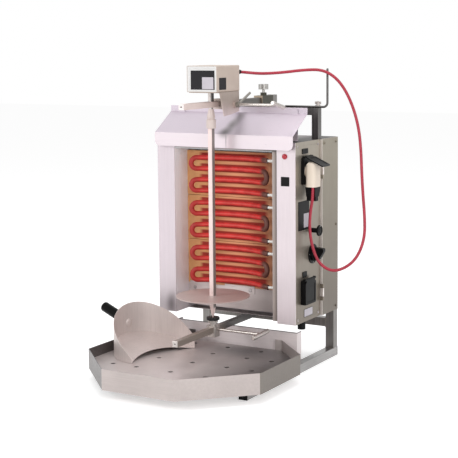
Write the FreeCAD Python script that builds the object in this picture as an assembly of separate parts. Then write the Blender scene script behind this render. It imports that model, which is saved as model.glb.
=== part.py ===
import FreeCAD, Part
import math
import os
from FreeCAD import Vector as V

# Electric skewer grill: an upright spit in front of three electric elements, in millimetres.
# The model is laid out about the spit: X = 0 is the plane of symmetry, Y = 0 is the spit's axis,
# Z = 0 is the floor. The front, where the drip tray pulls out, is at -Y and the controls at +X.
# At the end everything moves together, so that the origin lies below the middle of the grill.
os.makedirs("parts", exist_ok=True)

# ---------------------------------------------------------------- driving dimensions
SHEET = 1.2                 # stainless sheet of the cabinet, the hood and the scoop
RUN = 0.1                   # clearance of one sliding or turning fit, on each side
GAP = 0.4                   # open gap between pieces that move past each other
EPS = 0.01                  # overlap that lets two solids of one piece fuse

# base frame of square tube
RAIL = 25.0
RAIL_WALL = 1.5
FRAME_HALF = 218.2
RAIL_FRONT = -198.0
REAR = 329.0
CAP_PLATE = 2.5
CAP_PLUG = 12.0
ARM = 16.0                  # square tube of both arms
ARM_WALL = 1.5
LOWER_ARM_Z = 110.4         # underside of the lower arm, which lies on the cross member
LOWER_ARM_FRONT = -194.6
UPPER_ARM_FRONT = -149.8
END_T = 1.5                 # plate that closes the front end of each arm
VENT_R = 2.0                # and the hole in it
SPLASH_TOP = 104.0          # top of the plate behind the tray

# cabinet
CAB_FRONT = 68.0
CAB_BOTTOM = 138.0
CAB_TOP = 630.6
STRIP = 56.2                # width of the front strip on each side of the open heating bay
BAY_HALF = FRAME_HALF - STRIP
BAY_DEPTH = 68.0            # from the front of the cabinet back to the face of the boards
HEADER = 24.6               # height of the strip above the bay
BAY_TOP = CAB_TOP - HEADER
PANEL_SPLIT = 217.0         # joint between the control panel and the hinged side door
PANEL_GAP = 2.0
DOOR_PROUD = 6.0            # the door stands this far out from the control panel
DOOR_BACK = 10.0            # from the door's rear edge to the back of the cabinet
CORNER_IN = 12.0            # a panel's corner screws from the top and bottom edges
HINGE_HEIGHTS = (66.0, 407.0)   # above the cabinet's underside
HINGE_HALF = 23.0
HINGE_R = 2.8
LEAF = 14.0                 # width of a hinge leaf, and of the stop behind the joint
SLOT_COUNT = 12             # cooling slots in the rear cover
SLOT_PITCH = 20.0
SLOT_LOW = CAB_TOP - 150.6
SLOT_TALL = 60.0
TRIM = 14.0                 # folded edge beside the ferrules

# heating
BOARD_BOTTOM = 213.0
ZONES = 3                   # boards, each with one element
BOARD_TOP_GAP = 11.4        # from the top of the bay down to the boards
BOARD_PITCH = (BAY_TOP - BOARD_TOP_GAP - BOARD_BOTTOM) / ZONES
BOARD_JOINT = 1.2
BOARD_T = 15.0
BLANKET_T = 22.0
ELEMENT_D = 14.0
ELEMENT_DOWN = 17.1         # from the top of the boards down to the topmost pass
ELEMENT_TOP = BOARD_BOTTOM + ZONES * BOARD_PITCH - ELEMENT_DOWN
PASSES = 4                  # of each element
PASS_SPARE = 0.8            # of each board's share of the height, left over per pass
PASS_PITCH = BOARD_PITCH / PASSES - PASS_SPARE
ELEMENT_R = 200.0           # bow of the passes round the spit
ELEMENT_IN = 55.0           # from the side of the bay to where a pass ends and its bend starts
ELEMENT_HALF = BAY_HALF - ELEMENT_IN
ELEMENT_OFF = 0.5           # tube to board
PIN_D = 5.0
FERRULE_D = 8.0
CLIP_LEFT = (6.0, 92.0)     # the two clips below the boards, from the left side of the bay
CLIP_MIDDLE = (121.0, 218.0)

# hood and gantry
LIP_FRONT = 54.0
LIP_BOTTOM = CAB_TOP - 19.6
LIP_TOP = CAB_TOP + 17.4
HOOD_BACK = 140.3
HOOD_FLANGE = 16.0          # height of the hood's upright top edge
HOOD_CLEAR = 4.0            # between that edge and the upper arm
LIP_CORNER = 14.0
POST = 20.0
POST_FRONT = 208.0
POST_RISE = 85.9            # height of the gantry above the cabinet
POST_TOP = CAB_TOP + POST_RISE
POST_IN = 1.2               # a post's outer face inside the cabinet's side
SADDLE = 7.5                # height of the pad that carries the arm on the crossbar
GUIDE_D = 6.0
GUIDE_REACH = 129.0         # of the rod that guides the lead, along the crossbar
GUIDE_OUT = 24.8            # its upright beyond the cabinet's side
GUIDE_RISE = 105.5          # and above the crossbar
UPPER_ARM_Z = POST_TOP + SADDLE
HOOD_TOP = UPPER_ARM_Z - HOOD_CLEAR
HOOD_BREAK = HOOD_TOP - HOOD_FLANGE
MAST_TOP = UPPER_ARM_Z + ARM + 5.0

# motor carriage on the upper arm
MOTOR_HALF = 46.3
MOTOR_FRONT = -46.0
MOTOR_BACK = 73.0
MOTOR_BOTTOM = UPPER_ARM_Z + ARM + 26.0
MOTOR_TALL = 70.0
MOTOR_TOP = MOTOR_BOTTOM + MOTOR_TALL
SHAFT_D = 10.0
TRAVEL_OUT = 100.0          # carriage travel away from the elements
TRAVEL_IN = 15.0            # and towards them
CLAMP_Y = 44.0
CLAMP_Z = UPPER_ARM_Z + 7.0
CLAMP_ROD = 8.0
CLAMP_REACH = 180.0
CLAMP_BAR = 12.0
CLAMP_HALF = 33.0
CHEEK_T = 2.0               # the plates of the carriage bracket
BOSS_OUT = 6.0              # boss of the clamp screw, proud of the cheek
GUIDE_WALL = 6.0            # wall of the guide round the arm
GEARBOX_HALF = 32.0
GEARBOX_DEEP = 30.0         # half its depth
GEARBOX_TALL = 22.0
CAN_R = 24.0                # the motor's can, on the gearbox
CAN_TALL = 38.0
LEVER_HUB_R = 8.0
LEVER_HUB = 8.0
LEVER_D = 6.8
LEVER_LENGTH = 72.0
LEVER_RISE = 23.7           # degrees above level

# spit
BAR = 13.0
SLEEVE_CLEAR = 31.6         # from the top of the sleeve to the upper arm
SLEEVE_TOP = UPPER_ARM_Z - SLEEVE_CLEAR
BAR_TOP = SLEEVE_TOP - 24.4
BAR_TIP = 151.3
BAR_POINT = 185.0
DISC_R = 100.5
DISC_Z = 210.0
DISC_T = 2.5
SLEEVE_R = 13.0
COUPLING = 12.5
COUPLING_TOP = MOTOR_BOTTOM - 2.5
HUB_R = 14.0
HUB_BOTTOM = 99.6
HUB_TOP = 130.3
CUP_R = 18.0
CUP_BOTTOM = 146.0
CUP_TOP = 153.0
LOW_CLAMP_REACH = 145.0
LOW_CLAMP_HALF = 42.0

# drip tray and scoop
TRAY_HALF = 265.0
TRAY_SIDE = 107.6           # half length of each straight side of the octagon
TRAY_CENTRE = -104.6
TRAY_BACK = 118.0
TRAY_RIM = 79.9
TRAY_WALL = 1.5
TRAY_RETURN = 129.0
LOW_LIP = 22.0
FLOOR_TOP = 51.0
FLOOR_T = 1.5
HOLE_D = 13.0
HOLE_COLUMNS = (-181.0, -106.0, 0.0, 106.0, 181.0)
HOLE_ROWS = (-326.0, -217.0, -109.0, -2.0, 78.0)
SCOOP_R = 116.0
SCOOP_SIDE = 30.0
SCOOP_X = -133.0
SCOOP_Y = -80.0
SCOOP_TURN = -14.8          # degrees of the mouth from +X
SCOOP_MID_H = 44.0          # height of the sloping rim over the middle of the curve
SCOOP_FALL = 0.707          # fall of the rim per length
SCOOP_FALL_TURN = -8.1      # degrees from the mouth's axis to the way it falls
SCOOP_TILT = 0.294          # rise of the inner plate per length
SCOOP_MOUTH_R = 188.0
SCOOP_MOUTH_IN = 10.0       # the crescent reaches this far behind the middle of the curve
HANDLE_R = 14.0
HANDLE_LENGTH = 100.0
HANDLE_RISE = 16.0
HANDLE_Z = 122.0

# controls on the right side
SOCKET_Y = 126.0
SOCKET_Z = CAB_TOP - 78.6
SOCKET_WIDE = 50.0
SOCKET_TALL = 72.0
SOCKET_PROUD = 8.0
SOCKET_BORE = 40.0
SOCKET_WALL = 2.0
LID_T = 3.0
UPPER_LID = 60.0
UPPER_LID_DROP = 25.0       # degrees below level where the open lid lies on the plug
LOWER_Y = 128.7
LOWER_Z = 221.5
LOWER_WIDE = 62.0
LOWER_TALL = 67.0
LOWER_PROUD = 12.0
LOWER_BORE = 46.0
PIN_R = 1.5
REG_Y = 160.0
REG_Z = 386.0
REG_KNOB_R = 15.0
REG_NECK_R = 6.5
REG_HEAD = 6.0              # thickness of the regulator knob's head
REG_OUT = 28.8              # its face in front of the panel
SWITCH_Y = 170.0
SWITCH_Z = 319.5
SWITCH_PLATE_R = 27.0
SWITCH_KNOB_R = 20.0
SWITCH_OUT = 35.8           # tip of the rotary switch's handle in front of the panel
SWITCH_HALF = 7.0           # half thickness of that handle
STEM_D = 6.0
BODY_REACH = 48.0           # depth of the rotary switch's body behind the panel
LAMP_IN = 31.6              # the lamp's axis from the cabinet's side
LAMP_X = FRAME_HALF - LAMP_IN
LAMP_Z = CAB_TOP - 37.1
LAMP_R = 7.5
LAMP_STEM_R = 5.5
DATA_Y = (84.0, 149.0)      # bare data plate on the side
DATA_Z = (392.0, 471.0)
LABEL_Y = (118.0, 169.0)    # bare label under the lower socket
LABEL_Z = (151.0, 173.0)
FRONT_PLATE = 25.0          # small square plate on the front strip
FRONT_PLATE_Z = 514.0
TERMINAL_Y = (250.0, 300.0)
TERMINAL_Z = (300.0, 460.0)
TERMINAL_COUNT = 10
GLAND_IN = 34.2             # the gland's axis from the cabinet's side, clear of the rail below
GLAND_Y = 170.0
GLAND_R = 10.0              # of its thread
GLAND_BORE = 6.0
GLAND_HANG = 33.0           # of its nut below the cabinet
GLAND_X = FRAME_HALF - GLAND_IN
SCREW_HEAD = 3.5
SCREW_D = 4.0

# the motor's lead
CORD_D = 8.0                # of the lead
PLUG_DEEP = 31.0            # the plug's body, from the socket's face outwards
PLUG_WIDE = 42.0
PLUG_TALL = 68.0
PLUG_DROP = 42.0            # its underside below the socket's middle
CAP_TALL = 38.0
CORD_ROUTE = [
    (34.0, MOTOR_BACK + GAP, 817.0),
    (34.0, 99.0, 817.0),
    (48.0, 124.0, 814.0),
    (80.0, 141.0, 811.0),
    (134.0, 154.0, 814.0),
    (190.0, 171.0, 821.0),
    (239.0, 188.0, 822.0),
    (276.0, 195.0, 801.0),
    (305.0, 196.0, 766.0),
    (329.0, 195.0, 718.0),
    (346.0, 192.0, 663.0),
    (354.0, 188.0, 605.0),
    (359.0, 182.0, 547.0),
    (365.0, 177.0, 489.0),
    (373.0, 171.0, 431.0),
    (376.0, 165.0, 375.0),
    (359.0, 158.0, 323.0),
    (328.0, 151.0, 292.0),
    (289.0, 144.0, 279.0),
    (254.0, 136.0, 300.0),
    (239.0, 127.0, 343.0),
    (234.0, 119.0, 395.0),
    (239.0, 115.0, 443.0),
    (248.0, 112.0, 481.0),
    (248.0, 112.0, SOCKET_Z - PLUG_DROP),
]

NODES = {}


# ---------------------------------------------------------------- small makers
def block(x, y, z):
    """Box between two values on each axis."""
    size = [max(pair) - min(pair) for pair in (x, y, z)]
    return Part.makeBox(size[0], size[1], size[2], V(min(x), min(y), min(z)))


def rod(start, end, radius):
    """Round bar from one point to another."""
    return Part.makeCylinder(radius, (end - start).Length, start, end - start)


def cone(start, end, r_start, r_end):
    return Part.makeCone(r_start, r_end, (end - start).Length, start, end - start)


def prism(points, sweep):
    """Straight extrusion of a closed outline."""
    return Part.Face(Part.makePolygon(list(points) + [points[0]])).extrude(sweep)


def union(*shapes):
    return shapes[0].fuse(list(shapes[1:])).removeSplitter()


def square_tube(x, y, z, wall, along):
    """Hollow square tube, open at both ends of the axis named by along."""
    spans = {"x": x, "y": y, "z": z}
    inner = {}
    for axis, span in spans.items():
        if axis == along:
            inner[axis] = (min(span) - 1.0, max(span) + 1.0)
        else:
            inner[axis] = (min(span) + wall, max(span) - wall)
    return block(x, y, z).cut(block(inner["x"], inner["y"], inner["z"]))


def mirrored(shape):
    return shape.mirror(V(0, 0, 0), V(1, 0, 0))


def rounded_box(x, y, z, radius, along):
    """Box whose four edges along one axis are rounded."""
    solid = block(x, y, z)
    axis = {"x": V(1, 0, 0), "y": V(0, 1, 0), "z": V(0, 0, 1)}[along]
    edges = [e for e in solid.Edges if abs(abs(e.tangentAt(0).dot(axis)) - 1.0) < 1e-6]
    return solid.makeFillet(radius, edges)


def folded(points, thickness):
    """Closed outline, in the YZ plane, of a sheet whose outer face follows the points."""
    steps = [(b - a).normalize() for a, b in zip(points, points[1:])]
    normals = [V(0, -s.z, s.y) for s in steps]
    inner = []
    for i, point in enumerate(points):
        first = normals[max(i - 1, 0)]
        second = normals[min(i, len(normals) - 1)]
        middle = (first + second).normalize()
        inner.append(point + middle * (thickness / middle.dot(first)))
    return list(points) + inner[::-1]


def add(name, *solids):
    """Keep the solids of one node under its name."""
    NODES[name] = solids[0] if len(solids) == 1 else Part.makeCompound(list(solids))


# ---------------------------------------------------------------- screws
SCREWS = []


def screw(shape, point, outward, head=SCREW_HEAD, depth=6.0):
    """Drill one sheet and keep the screw that holds it."""
    shank = rod(point - outward * depth, point + outward * EPS, SCREW_D / 2)
    dome = rod(point, point + outward * (head * 0.55), head)
    SCREWS.append(union(shank, dome.makeFillet(head * 0.3, dome.Edges[0])))
    return shape.cut(rod(point - outward * (depth + 1.0), point + outward, SCREW_D / 2))


# ---------------------------------------------------------------- base frame
def arm_tube(front, z):
    """Square tube of an arm, from its closed front end back to the mast."""
    tube = square_tube((-ARM / 2, ARM / 2), (front, REAR), (z, z + ARM), ARM_WALL, "y")
    end = block((-ARM / 2, ARM / 2), (front, front + END_T), (z, z + ARM))
    middle = z + ARM / 2
    vent = rod(V(0, front - 1, middle), V(0, front + END_T + 1, middle), VENT_R)
    return union(tube, end).cut(vent)


def base_frame():
    rail = square_tube((FRAME_HALF - RAIL, FRAME_HALF), (RAIL_FRONT, REAR), (0, RAIL), RAIL_WALL, "y")
    add("base_rails", rail, mirrored(rail))

    caps = []
    mid_x = FRAME_HALF - RAIL / 2
    for face, out in ((RAIL_FRONT, -1), (REAR, 1)):
        plate = block((mid_x - RAIL / 2, mid_x + RAIL / 2), (face, face + out * CAP_PLATE), (0, RAIL))
        reach = RAIL / 2 - RAIL_WALL
        plug = block((mid_x - reach, mid_x + reach), (face - out * CAP_PLUG, face + out * EPS),
                     (RAIL_WALL, RAIL - RAIL_WALL))
        cap = union(plate, plug)
        caps += [cap, mirrored(cap)]
    add("rail_end_caps", *caps)

    upright = square_tube((FRAME_HALF - RAIL, FRAME_HALF), (REAR - RAIL, REAR),
                          (RAIL, CAB_BOTTOM), RAIL_WALL, "z")
    inside = FRAME_HALF - RAIL
    cross = square_tube((-inside, inside), (REAR - RAIL, REAR),
                        (LOWER_ARM_Z - RAIL, LOWER_ARM_Z), RAIL_WALL, "x")
    add("rear_frame", union(upright, cross, mirrored(upright)))

    add("rear_mast", square_tube((-RAIL / 2, RAIL / 2), (REAR, REAR + RAIL),
                                 (LOWER_ARM_Z - RAIL, MAST_TOP), RAIL_WALL, "z"))
    add("lower_arm", arm_tube(LOWER_ARM_FRONT, LOWER_ARM_Z))

    splash_y = TRAY_BACK + 7.0
    height = (RAIL / 2, SPLASH_TOP)
    splash = block((-inside, inside), (splash_y, splash_y + SHEET), height)
    wing = block((inside - SHEET, inside), (splash_y, splash_y + RAIL), height)
    add("backsplash_plate", union(splash, wing, mirrored(wing)))


# ---------------------------------------------------------------- cabinet
def side_point(y, z):
    return V(FRAME_HALF, y, z)


def through_side(y, z, radius):
    """Cutter along X through the right side of the cabinet."""
    return rod(V(BAY_HALF, y, z), side_point(y, z) + V(5, 0, 0), radius)


def hinge_axis(height):
    """Point on the door's hinge axis, clear of the door's face by a gap."""
    out = FRAME_HALF + DOOR_PROUD + HINGE_R + GAP
    return V(out, PANEL_SPLIT, CAB_BOTTOM + height)


def left_box():
    z = (CAB_BOTTOM, CAB_TOP)
    back = REAR - SHEET
    strip = block((-FRAME_HALF, -BAY_HALF), (CAB_FRONT, CAB_FRONT + SHEET), z)
    side = block((-FRAME_HALF, -FRAME_HALF + SHEET), (CAB_FRONT, back), z)
    left = union(strip, side)
    for y in (CAB_FRONT + 22.0, back - 18.0):
        for height in (CAB_BOTTOM + CORNER_IN, CAB_TOP - CORNER_IN):
            left = screw(left, V(-FRAME_HALF, y, height), V(-1, 0, 0))
    add("left_box_shell", left)


def control_panel():
    z = (CAB_BOTTOM, CAB_TOP)
    edge = PANEL_SPLIT - PANEL_GAP / 2
    strip = block((BAY_HALF, FRAME_HALF), (CAB_FRONT, CAB_FRONT + SHEET), z)
    side = block((FRAME_HALF - SHEET, FRAME_HALF), (CAB_FRONT, edge), z)
    stop = block((FRAME_HALF - 2 * SHEET, FRAME_HALF - SHEET + EPS), (edge - LEAF, edge),
                 (CAB_BOTTOM + SHEET + GAP, CAB_TOP - SHEET - GAP))
    tongue = block((FRAME_HALF - 2 * SHEET, FRAME_HALF - SHEET), (edge - EPS, edge + LEAF),
                   (CAB_BOTTOM + SHEET + GAP, CAB_TOP - SHEET - GAP))
    panel = union(strip, side, stop, tongue)
    panel = panel.cut(through_side(SOCKET_Y, SOCKET_Z, SOCKET_BORE / 2 + SOCKET_WALL + GAP))
    panel = panel.cut(through_side(LOWER_Y, LOWER_Z, LOWER_BORE / 2 + SOCKET_WALL + GAP))
    for y, height in ((REG_Y, REG_Z), (SWITCH_Y, SWITCH_Z)):
        panel = panel.cut(through_side(y, height, STEM_D / 2 + 1))
    panel = panel.cut(rod(V(LAMP_X, 0, LAMP_Z), V(LAMP_X, CAB_FRONT + 5, LAMP_Z), LAMP_STEM_R + GAP))
    for y in (CAB_FRONT + CORNER_IN, PANEL_SPLIT - LEAF):
        for height in (CAB_BOTTOM + CORNER_IN, CAB_TOP - CORNER_IN):
            panel = screw(panel, side_point(y, height), V(1, 0, 0))
    for height in HINGE_HEIGHTS:
        axis = hinge_axis(height)
        for end in (-1, 1):
            low = axis + V(0, 0, end * (HINGE_HALF / 2 + GAP))
            high = axis + V(0, 0, end * HINGE_HALF)
            leaf = block((FRAME_HALF - EPS, FRAME_HALF + SHEET), (PANEL_SPLIT - LEAF, edge),
                         (low.z, high.z))
            web = block((FRAME_HALF, axis.x), (PANEL_SPLIT - HINGE_R, edge), (low.z, high.z))
            panel = union(panel, rod(low, high, HINGE_R), leaf, web)
        reach = V(0, 0, 2 * HINGE_HALF)
        panel = panel.cut(rod(axis - reach, axis + reach, PIN_R + RUN / 2))
    add("control_panel", panel)


def side_door():
    """Shallow folded door that stands proud of the control panel, with its half of each hinge."""
    face = FRAME_HALF + DOOR_PROUD
    front = PANEL_SPLIT + PANEL_GAP / 2
    rear = REAR - DOOR_BACK
    step = (FRAME_HALF + GAP, face)
    z = (CAB_BOTTOM, CAB_TOP)
    pieces = [block((face - SHEET, face), (front, rear), z)]
    pieces.append(block((FRAME_HALF - SHEET + GAP, face), (front, front + SHEET), z))
    pieces.append(block(step, (rear - SHEET, rear), z))
    pieces.append(block(step, (front, rear), (CAB_BOTTOM, CAB_BOTTOM + SHEET)))
    pieces.append(block(step, (front, rear), (CAB_TOP - SHEET, CAB_TOP)))
    middle = (CAB_TOP + CAB_BOTTOM) / 2
    for y, height in ((front + LEAF, CAB_TOP - CORNER_IN), (rear - CORNER_IN, CAB_TOP - CORNER_IN),
                      (rear - CORNER_IN, CAB_BOTTOM + CORNER_IN), (rear - CORNER_IN, middle)):
        pieces.append(rod(V(face - EPS, y, height), V(face + 2, y, height), SCREW_HEAD))
    for height in HINGE_HEIGHTS:
        axis = hinge_axis(height)
        half = V(0, 0, HINGE_HALF / 2)
        pieces.append(rod(axis - half, axis + half, HINGE_R))
        pieces.append(rod(axis - half * 2, axis + half * 2, PIN_R))
        pieces.append(block((face - EPS, face + SHEET), (front, PANEL_SPLIT + LEAF),
                            (axis.z - half.z, axis.z + half.z)))
    add("rear_side_panel", union(*pieces))


def cabinet():
    z = (CAB_BOTTOM, CAB_TOP)
    back = REAR - SHEET
    inside = FRAME_HALF - SHEET
    plate = block((-inside, inside), (CAB_FRONT + SHEET, back), (CAB_TOP - SHEET, CAB_TOP))
    header = block((-BAY_HALF, BAY_HALF), (CAB_FRONT, CAB_FRONT + SHEET + EPS), (BAY_TOP, CAB_TOP))
    add("cabinet_top", union(plate, header))

    floor = block((-inside, inside), (CAB_FRONT + SHEET, back), (CAB_BOTTOM, CAB_BOTTOM + SHEET))
    mouth = block((-BAY_HALF, BAY_HALF), (0, CAB_FRONT + BAY_DEPTH), (0, CAB_TOP))
    gland_hole = rod(V(GLAND_X, GLAND_Y, 0), V(GLAND_X, GLAND_Y, CAB_TOP), GLAND_R + RUN)
    add("cabinet_floor", floor.cut(mouth).cut(gland_hole))

    cover = block((-FRAME_HALF, FRAME_HALF), (back, REAR), z)
    flange = block((FRAME_HALF - SHEET, FRAME_HALF), (REAR - DOOR_BACK + GAP, REAR), z)
    cover = union(cover, flange)
    slots = []
    for column in range(SLOT_COUNT):
        x = SLOT_PITCH * (column - (SLOT_COUNT - 1) / 2)
        slots.append(rounded_box((x - 3, x + 3), (back - 2, REAR + 2), (SLOT_LOW, SLOT_LOW + SLOT_TALL),
                                 2.9, "y"))
    cover = cover.cut(slots)
    for x in (-FRAME_HALF + CORNER_IN, FRAME_HALF - CORNER_IN):
        for height in (CAB_BOTTOM + CORNER_IN, CAB_TOP - CORNER_IN):
            cover = screw(cover, V(x, REAR, height), V(0, 1, 0))
    add("rear_cover", cover)

    # heating bay: liner of folded sheet, and the panel below the boards
    face = CAB_FRONT + BAY_DEPTH
    liner_back = face + BOARD_T + BLANKET_T
    bay_z = (CAB_BOTTOM + SHEET, BAY_TOP)
    outer = block((-BAY_HALF - SHEET, BAY_HALF + SHEET), (CAB_FRONT + SHEET, liner_back + SHEET), bay_z)
    hollow = block((-BAY_HALF, BAY_HALF), (0, liner_back), (0, BAY_TOP - SHEET))
    liner = outer.cut(hollow)
    for height in ferrule_heights():
        liner = liner.cut(rod(V(BAY_HALF - 5, ferrule_y(), height), V(BAY_HALF + 5, ferrule_y(), height),
                              FERRULE_D / 2 + RUN))
    trim = block((BAY_HALF - TRIM, BAY_HALF), (CAB_FRONT + 1, CAB_FRONT + 1 + SHEET),
                 (CAB_BOTTOM + 6, BAY_TOP - 2))
    add("bay_liner", union(liner, trim))

    low = CAB_BOTTOM + CORNER_IN
    front = block((-BAY_HALF, BAY_HALF), (face, face + SHEET), (low, BOARD_BOTTOM))
    shelf = block((-BAY_HALF, BAY_HALF), (face, liner_back), (BOARD_BOTTOM - SHEET, BOARD_BOTTOM))
    foot = block((-BAY_HALF, BAY_HALF), (face, liner_back), (low, low + SHEET))
    panel = union(front, shelf, foot)
    add("bay_lower_panel", panel)


# ---------------------------------------------------------------- heating
def bow_centre():
    face = CAB_FRONT + BAY_DEPTH
    return face - ELEMENT_OFF - ELEMENT_D / 2 - ELEMENT_R


def bow_angle():
    return math.degrees(math.asin(ELEMENT_HALF / ELEMENT_R))


LEAD_RUN = 6.0
LEAD_BEND = 20.0
PIN_REACH = 32.0            # of an element's pins, beyond the bay's side


def lead_end():
    """Where the tube of an element ends, level with X, before its ferrule."""
    turn = math.radians(bow_angle())
    x = ELEMENT_HALF + LEAD_RUN * math.cos(turn) + LEAD_BEND * math.sin(turn)
    y = (bow_centre() + ELEMENT_R * math.cos(turn) - LEAD_RUN * math.sin(turn)
         - LEAD_BEND * (1 - math.cos(turn)))
    return x, y


def ferrule_y():
    return lead_end()[1]


def element_tops():
    return [ELEMENT_TOP - i * BOARD_PITCH for i in range(ZONES)]


def ferrule_heights():
    return [top - drop for top in element_tops() for drop in (0.0, (PASSES - 1) * PASS_PITCH)]


def disc_face(centre, normal, radius):
    return Part.Face(Part.Wire(Part.makeCircle(radius, centre, normal)))


def heating_element(top):
    """One tube in four passes, its ends brought out to the right."""
    turn = math.radians(bow_angle())
    radius = ELEMENT_D / 2
    up = V(0, 0, 1)
    pieces = []
    for i in range(PASSES):
        z = top - i * PASS_PITCH
        left = V(-ELEMENT_HALF, bow_centre() + ELEMENT_R * math.cos(turn), z)
        along = V(math.cos(turn), math.sin(turn), 0)
        face = disc_face(left, along, radius)
        pieces.append(face.revolve(V(0, bow_centre(), z), up, -2 * bow_angle()))
    for i, side in ((0, -1), (1, 1), (2, -1)):
        z = top - i * PASS_PITCH
        out = V(side * math.cos(turn), -math.sin(turn), 0)
        start = V(side * ELEMENT_HALF, bow_centre() + ELEMENT_R * math.cos(turn), z)
        face = disc_face(start, out, radius)
        pieces.append(face.revolve(start - up * (PASS_PITCH / 2), up.cross(out), 180.0))
    for z in (top, top - (PASSES - 1) * PASS_PITCH):
        out = V(math.cos(turn), -math.sin(turn), 0)
        start = V(ELEMENT_HALF, bow_centre() + ELEMENT_R * math.cos(turn), z)
        corner = start + out * LEAD_RUN
        pieces.append(rod(start, corner, radius))
        centre = corner + V(math.sin(turn), math.cos(turn), 0) * LEAD_BEND
        pieces.append(disc_face(corner, out, radius).revolve(centre, up, bow_angle()))
        tip = V(lead_end()[0], lead_end()[1], z)
        pieces.append(rod(tip - V(EPS, 0, 0), V(BAY_HALF + PIN_REACH, tip.y, z), PIN_D / 2))
    return union(*pieces)


def heating():
    face = CAB_FRONT + BAY_DEPTH
    boards = []
    for i in range(ZONES):
        low = BOARD_BOTTOM + i * BOARD_PITCH
        boards.append(block((-BAY_HALF, BAY_HALF), (face, face + BOARD_T),
                            (low, low + BOARD_PITCH - BOARD_JOINT)))
    add("ceramic_boards", *boards)
    add("insulation_blanket", block((-BAY_HALF, BAY_HALF), (face + BOARD_T, face + BOARD_T + BLANKET_T),
                                    (BOARD_BOTTOM, BOARD_BOTTOM + 3 * BOARD_PITCH - BOARD_JOINT)))
    for i, top in enumerate(element_tops()):
        add("heating_element_%d" % (i + 1), heating_element(top))

    ferrules = []
    for z in ferrule_heights():
        start = V(lead_end()[0] + RUN, ferrule_y(), z)
        sleeve = rod(start, V(BAY_HALF + 8, start.y, z), FERRULE_D / 2)
        collar = rod(V(BAY_HALF - 24, start.y, z), V(BAY_HALF - 16, start.y, z), FERRULE_D / 2 + 2)
        bore = rod(start - V(1, 0, 0), V(BAY_HALF + 9, start.y, z), PIN_D / 2 + RUN / 2)
        ferrules.append(union(sleeve, collar).cut(bore))
    add("element_ferrules", *ferrules)

    # two clips of folded plate that keep the lowest element and its board in place
    plate_t = 2.0
    plates = []
    top = BOARD_BOTTOM + 5.0
    for (left, right), tall, screw_in, screw_down in ((CLIP_LEFT, 30.0, 17.0, 18.0),
                                                      (CLIP_MIDDLE, 21.0, 83.0, 11.0)):
        plate = block((left - BAY_HALF, right - BAY_HALF), (face - plate_t, face), (top - tall, top))
        point = V(left - BAY_HALF + screw_in, face - plate_t, top - screw_down)
        plates.append(screw(plate, point, V(0, -1, 0), 5.0, plate_t))
    add("retaining_plates", *plates)


# ---------------------------------------------------------------- hood and gantry
def hood():
    line = [V(0, CAB_FRONT, LIP_BOTTOM), V(0, LIP_FRONT, LIP_BOTTOM), V(0, LIP_FRONT, LIP_TOP),
            V(0, HOOD_BACK, HOOD_BREAK), V(0, HOOD_BACK, HOOD_TOP)]
    outline = folded(line, -SHEET)
    half = FRAME_HALF - SHEET / 2
    sheet = prism([p + V(-half, 0, 0) for p in outline], V(2 * half, 0, 0))
    leg_in = BAY_HALF + 8.0
    leg_out = leg_in + POST
    for side in (-1, 1):
        corner = block((side * (half - LIP_CORNER), side * (half + 1)), (LIP_FRONT - 1, CAB_FRONT + 1),
                       (LIP_BOTTOM - 1, LIP_BOTTOM + LIP_CORNER))
        keep = rod(V(side * (half - LIP_CORNER), LIP_FRONT - 2, LIP_BOTTOM + LIP_CORNER),
                   V(side * (half - LIP_CORNER), CAB_FRONT + 2, LIP_BOTTOM + LIP_CORNER), LIP_CORNER)
        sheet = sheet.cut(corner.cut(keep))
        leg = block((side * leg_in, side * leg_out), (HOOD_BACK - 2 * SHEET, HOOD_BACK - SHEET + EPS),
                    (CAB_TOP, HOOD_TOP - 4))
        foot = block((side * leg_in, side * leg_out), (HOOD_BACK - 14, HOOD_BACK - SHEET),
                     (CAB_TOP, CAB_TOP + SHEET))
        under = side * (leg_in - 5)
        clear = prism([V(under, LIP_FRONT - 30, LIP_TOP - 22), V(under, HOOD_BACK - 2 * SHEET, HOOD_BREAK),
                       V(under, LIP_FRONT - 30, HOOD_BREAK)], V(side * (POST + 10), 0, 0))
        sheet = union(sheet, leg.cut(clear), foot)
    add("hood", sheet)


def post_inner():
    return FRAME_HALF - POST_IN - POST


def bolt_place():
    """X and Y of the wing bolt on the right post."""
    return post_inner() + POST / 2 + 3.0, POST_FRONT + 13.0


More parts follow.
